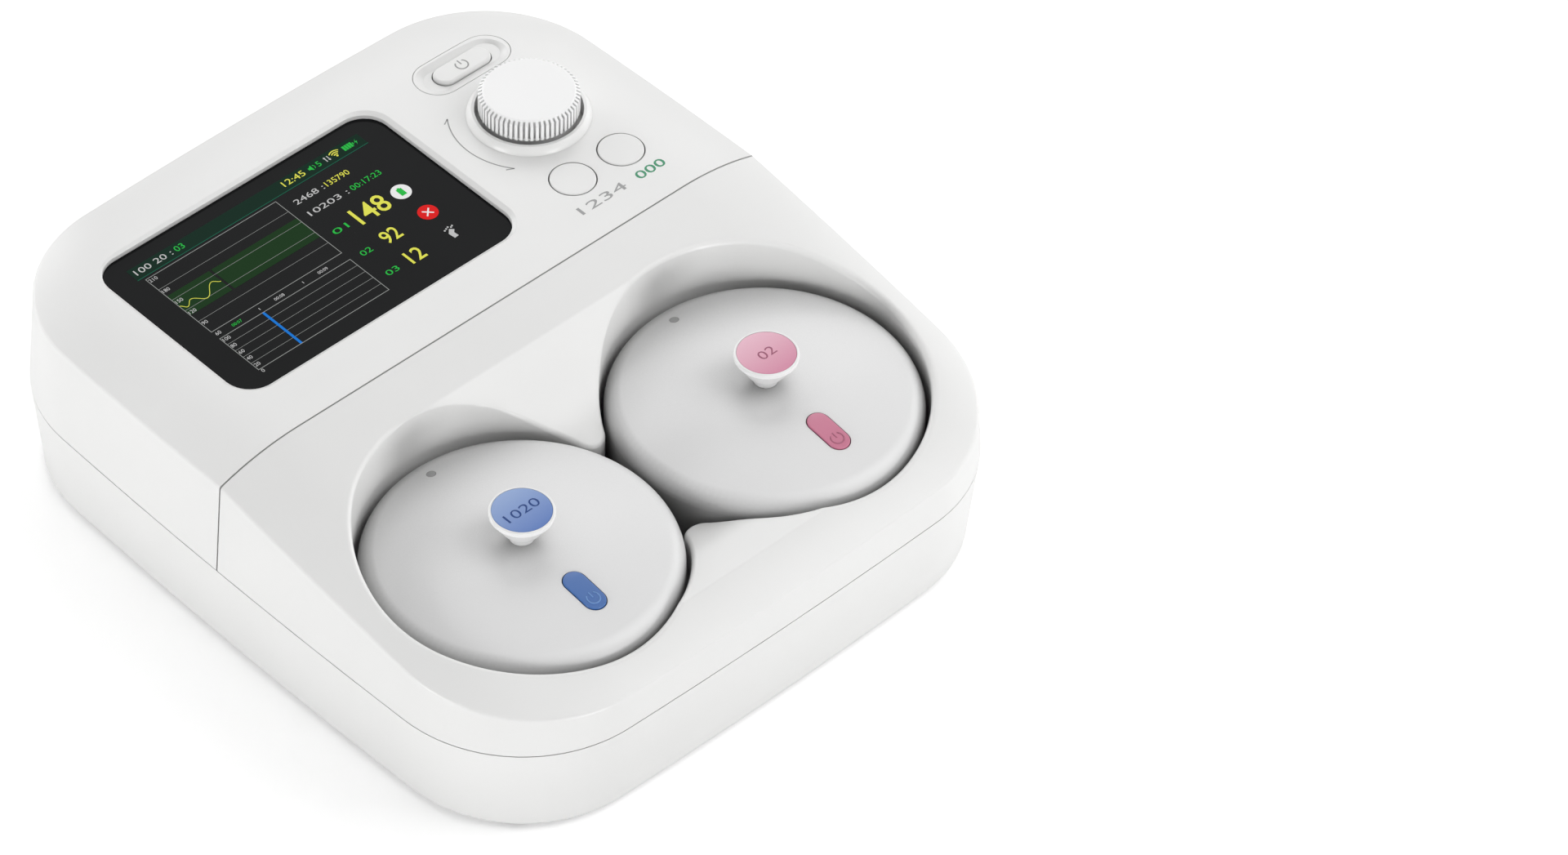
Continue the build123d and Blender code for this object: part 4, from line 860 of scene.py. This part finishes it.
def print_dock_marks():
    """The turning arrow beside the knob, the figures under the keys, the power symbol."""
    knob_x, knob_y = middle_of("knob")
    grey = Ink()
    start, end = ARROW_SPAN
    grey.arc(knob_x, knob_y, ARROW_RADIUS, start, end, ARROW_WIDTH)
    for angle, along in ((start, 1), (end, -1)):
        turn = radians(angle)
        tip = Vector((knob_x + ARROW_RADIUS * cos(turn), knob_y + ARROW_RADIUS * sin(turn)))
        back = Vector((-sin(turn), cos(turn))) * along
        outward = Vector((cos(turn), sin(turn)))
        barb = (back + BARB_LEAN * outward).normalized() * BARB_LENGTH
        grey.stroke([(tip + barb)[:], tip[:]], ARROW_WIDTH)
    figures, left, width = LEFT_FIGURES
    grey.digits(figures, left, KEY_FIGURES_FOOT, MARK_HEIGHT, width)
    grey.lay("deck_grey_marks", GREY_INK, "dock", on_deck)
    green = Ink()
    figures, left, width = RIGHT_FIGURES
    green.digits(figures, left, KEY_FIGURES_FOOT, MARK_HEIGHT, width, bold=RIGHT_BOLD)
    green.lay("deck_green_marks", GREEN_INK, "dock", on_deck)
    key_top = top_of("power_key") + PRINT_LIFT
    key_x, key_y = middle_of("power_key")
    symbol = Ink()
    symbol.power_symbol(key_x, key_y, POWER_SYMBOL_RADIUS, KEY_SYMBOL_WIDTH)
    symbol.lay("power_key_symbol", GREY_INK, "power_key", lambda x, y: key_top)


def print_probe_marks():
    """Figures on the stud caps and raised power symbols on the buttons."""
    for name, figures, width, ink, raised, slot in (
        ("contraction", "1020", 11.4, INK_ON_BLUE, BLUE_RAISED_LIT, "blue_plastic"),
        ("heartbeat", "02", 5.4, INK_ON_PINK, PINK_RAISED_SHADED, "pink_plastic"),
    ):
        cap_x, cap_y = middle_of(f"{name}_stud_cap")
        cap_top = top_of(f"{name}_stud_cap") + PRINT_LIFT
        label = Ink()
        label.digits(
            figures, cap_x - width / 2, cap_y - MARK_HEIGHT / 2, MARK_HEIGHT, width, bold=CAP_BOLD
        )
        label.lay(f"{name}_cap_figures", ink, f"{name}_probe", lambda x, y: cap_top)

        button_x = middle_of(f"{name}_button")[0]
        symbol_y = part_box(f"{name}_button")[0].y / MM + SYMBOL_INSET
        centre = top_of(f"{name}_top_shell") - DOME_RADIUS

        def on_button(x, y):
            away = (x - cap_x) ** 2 + (y - cap_y) ** 2
            return centre + sqrt((DOME_RADIUS + BUTTON_RISE) ** 2 - away)

        # painted light: the raised symbol takes a lighter copy of the blue button's colour and a darker
        # copy of the pink one's
        symbol = Ink(thickness=BUTTON_SYMBOL_HEIGHT)
        symbol.power_symbol(button_x, symbol_y, POWER_SYMBOL_RADIUS, BUTTON_SYMBOL_WIDTH)
        symbol.lay(f"{name}_button_symbol", raised, f"{name}_button", on_button)


add_camera()
add_world(WORLD_STRENGTH)
add_softboxes()
add_floor()
dress_nodes()
draw_charts()
draw_header()
draw_yellow_figures()
draw_green_figures()
draw_grey_figures()
draw_round_signs()
print_dock_marks()
print_probe_marks()

bpy.context.scene.view_settings.view_transform = "Standard"
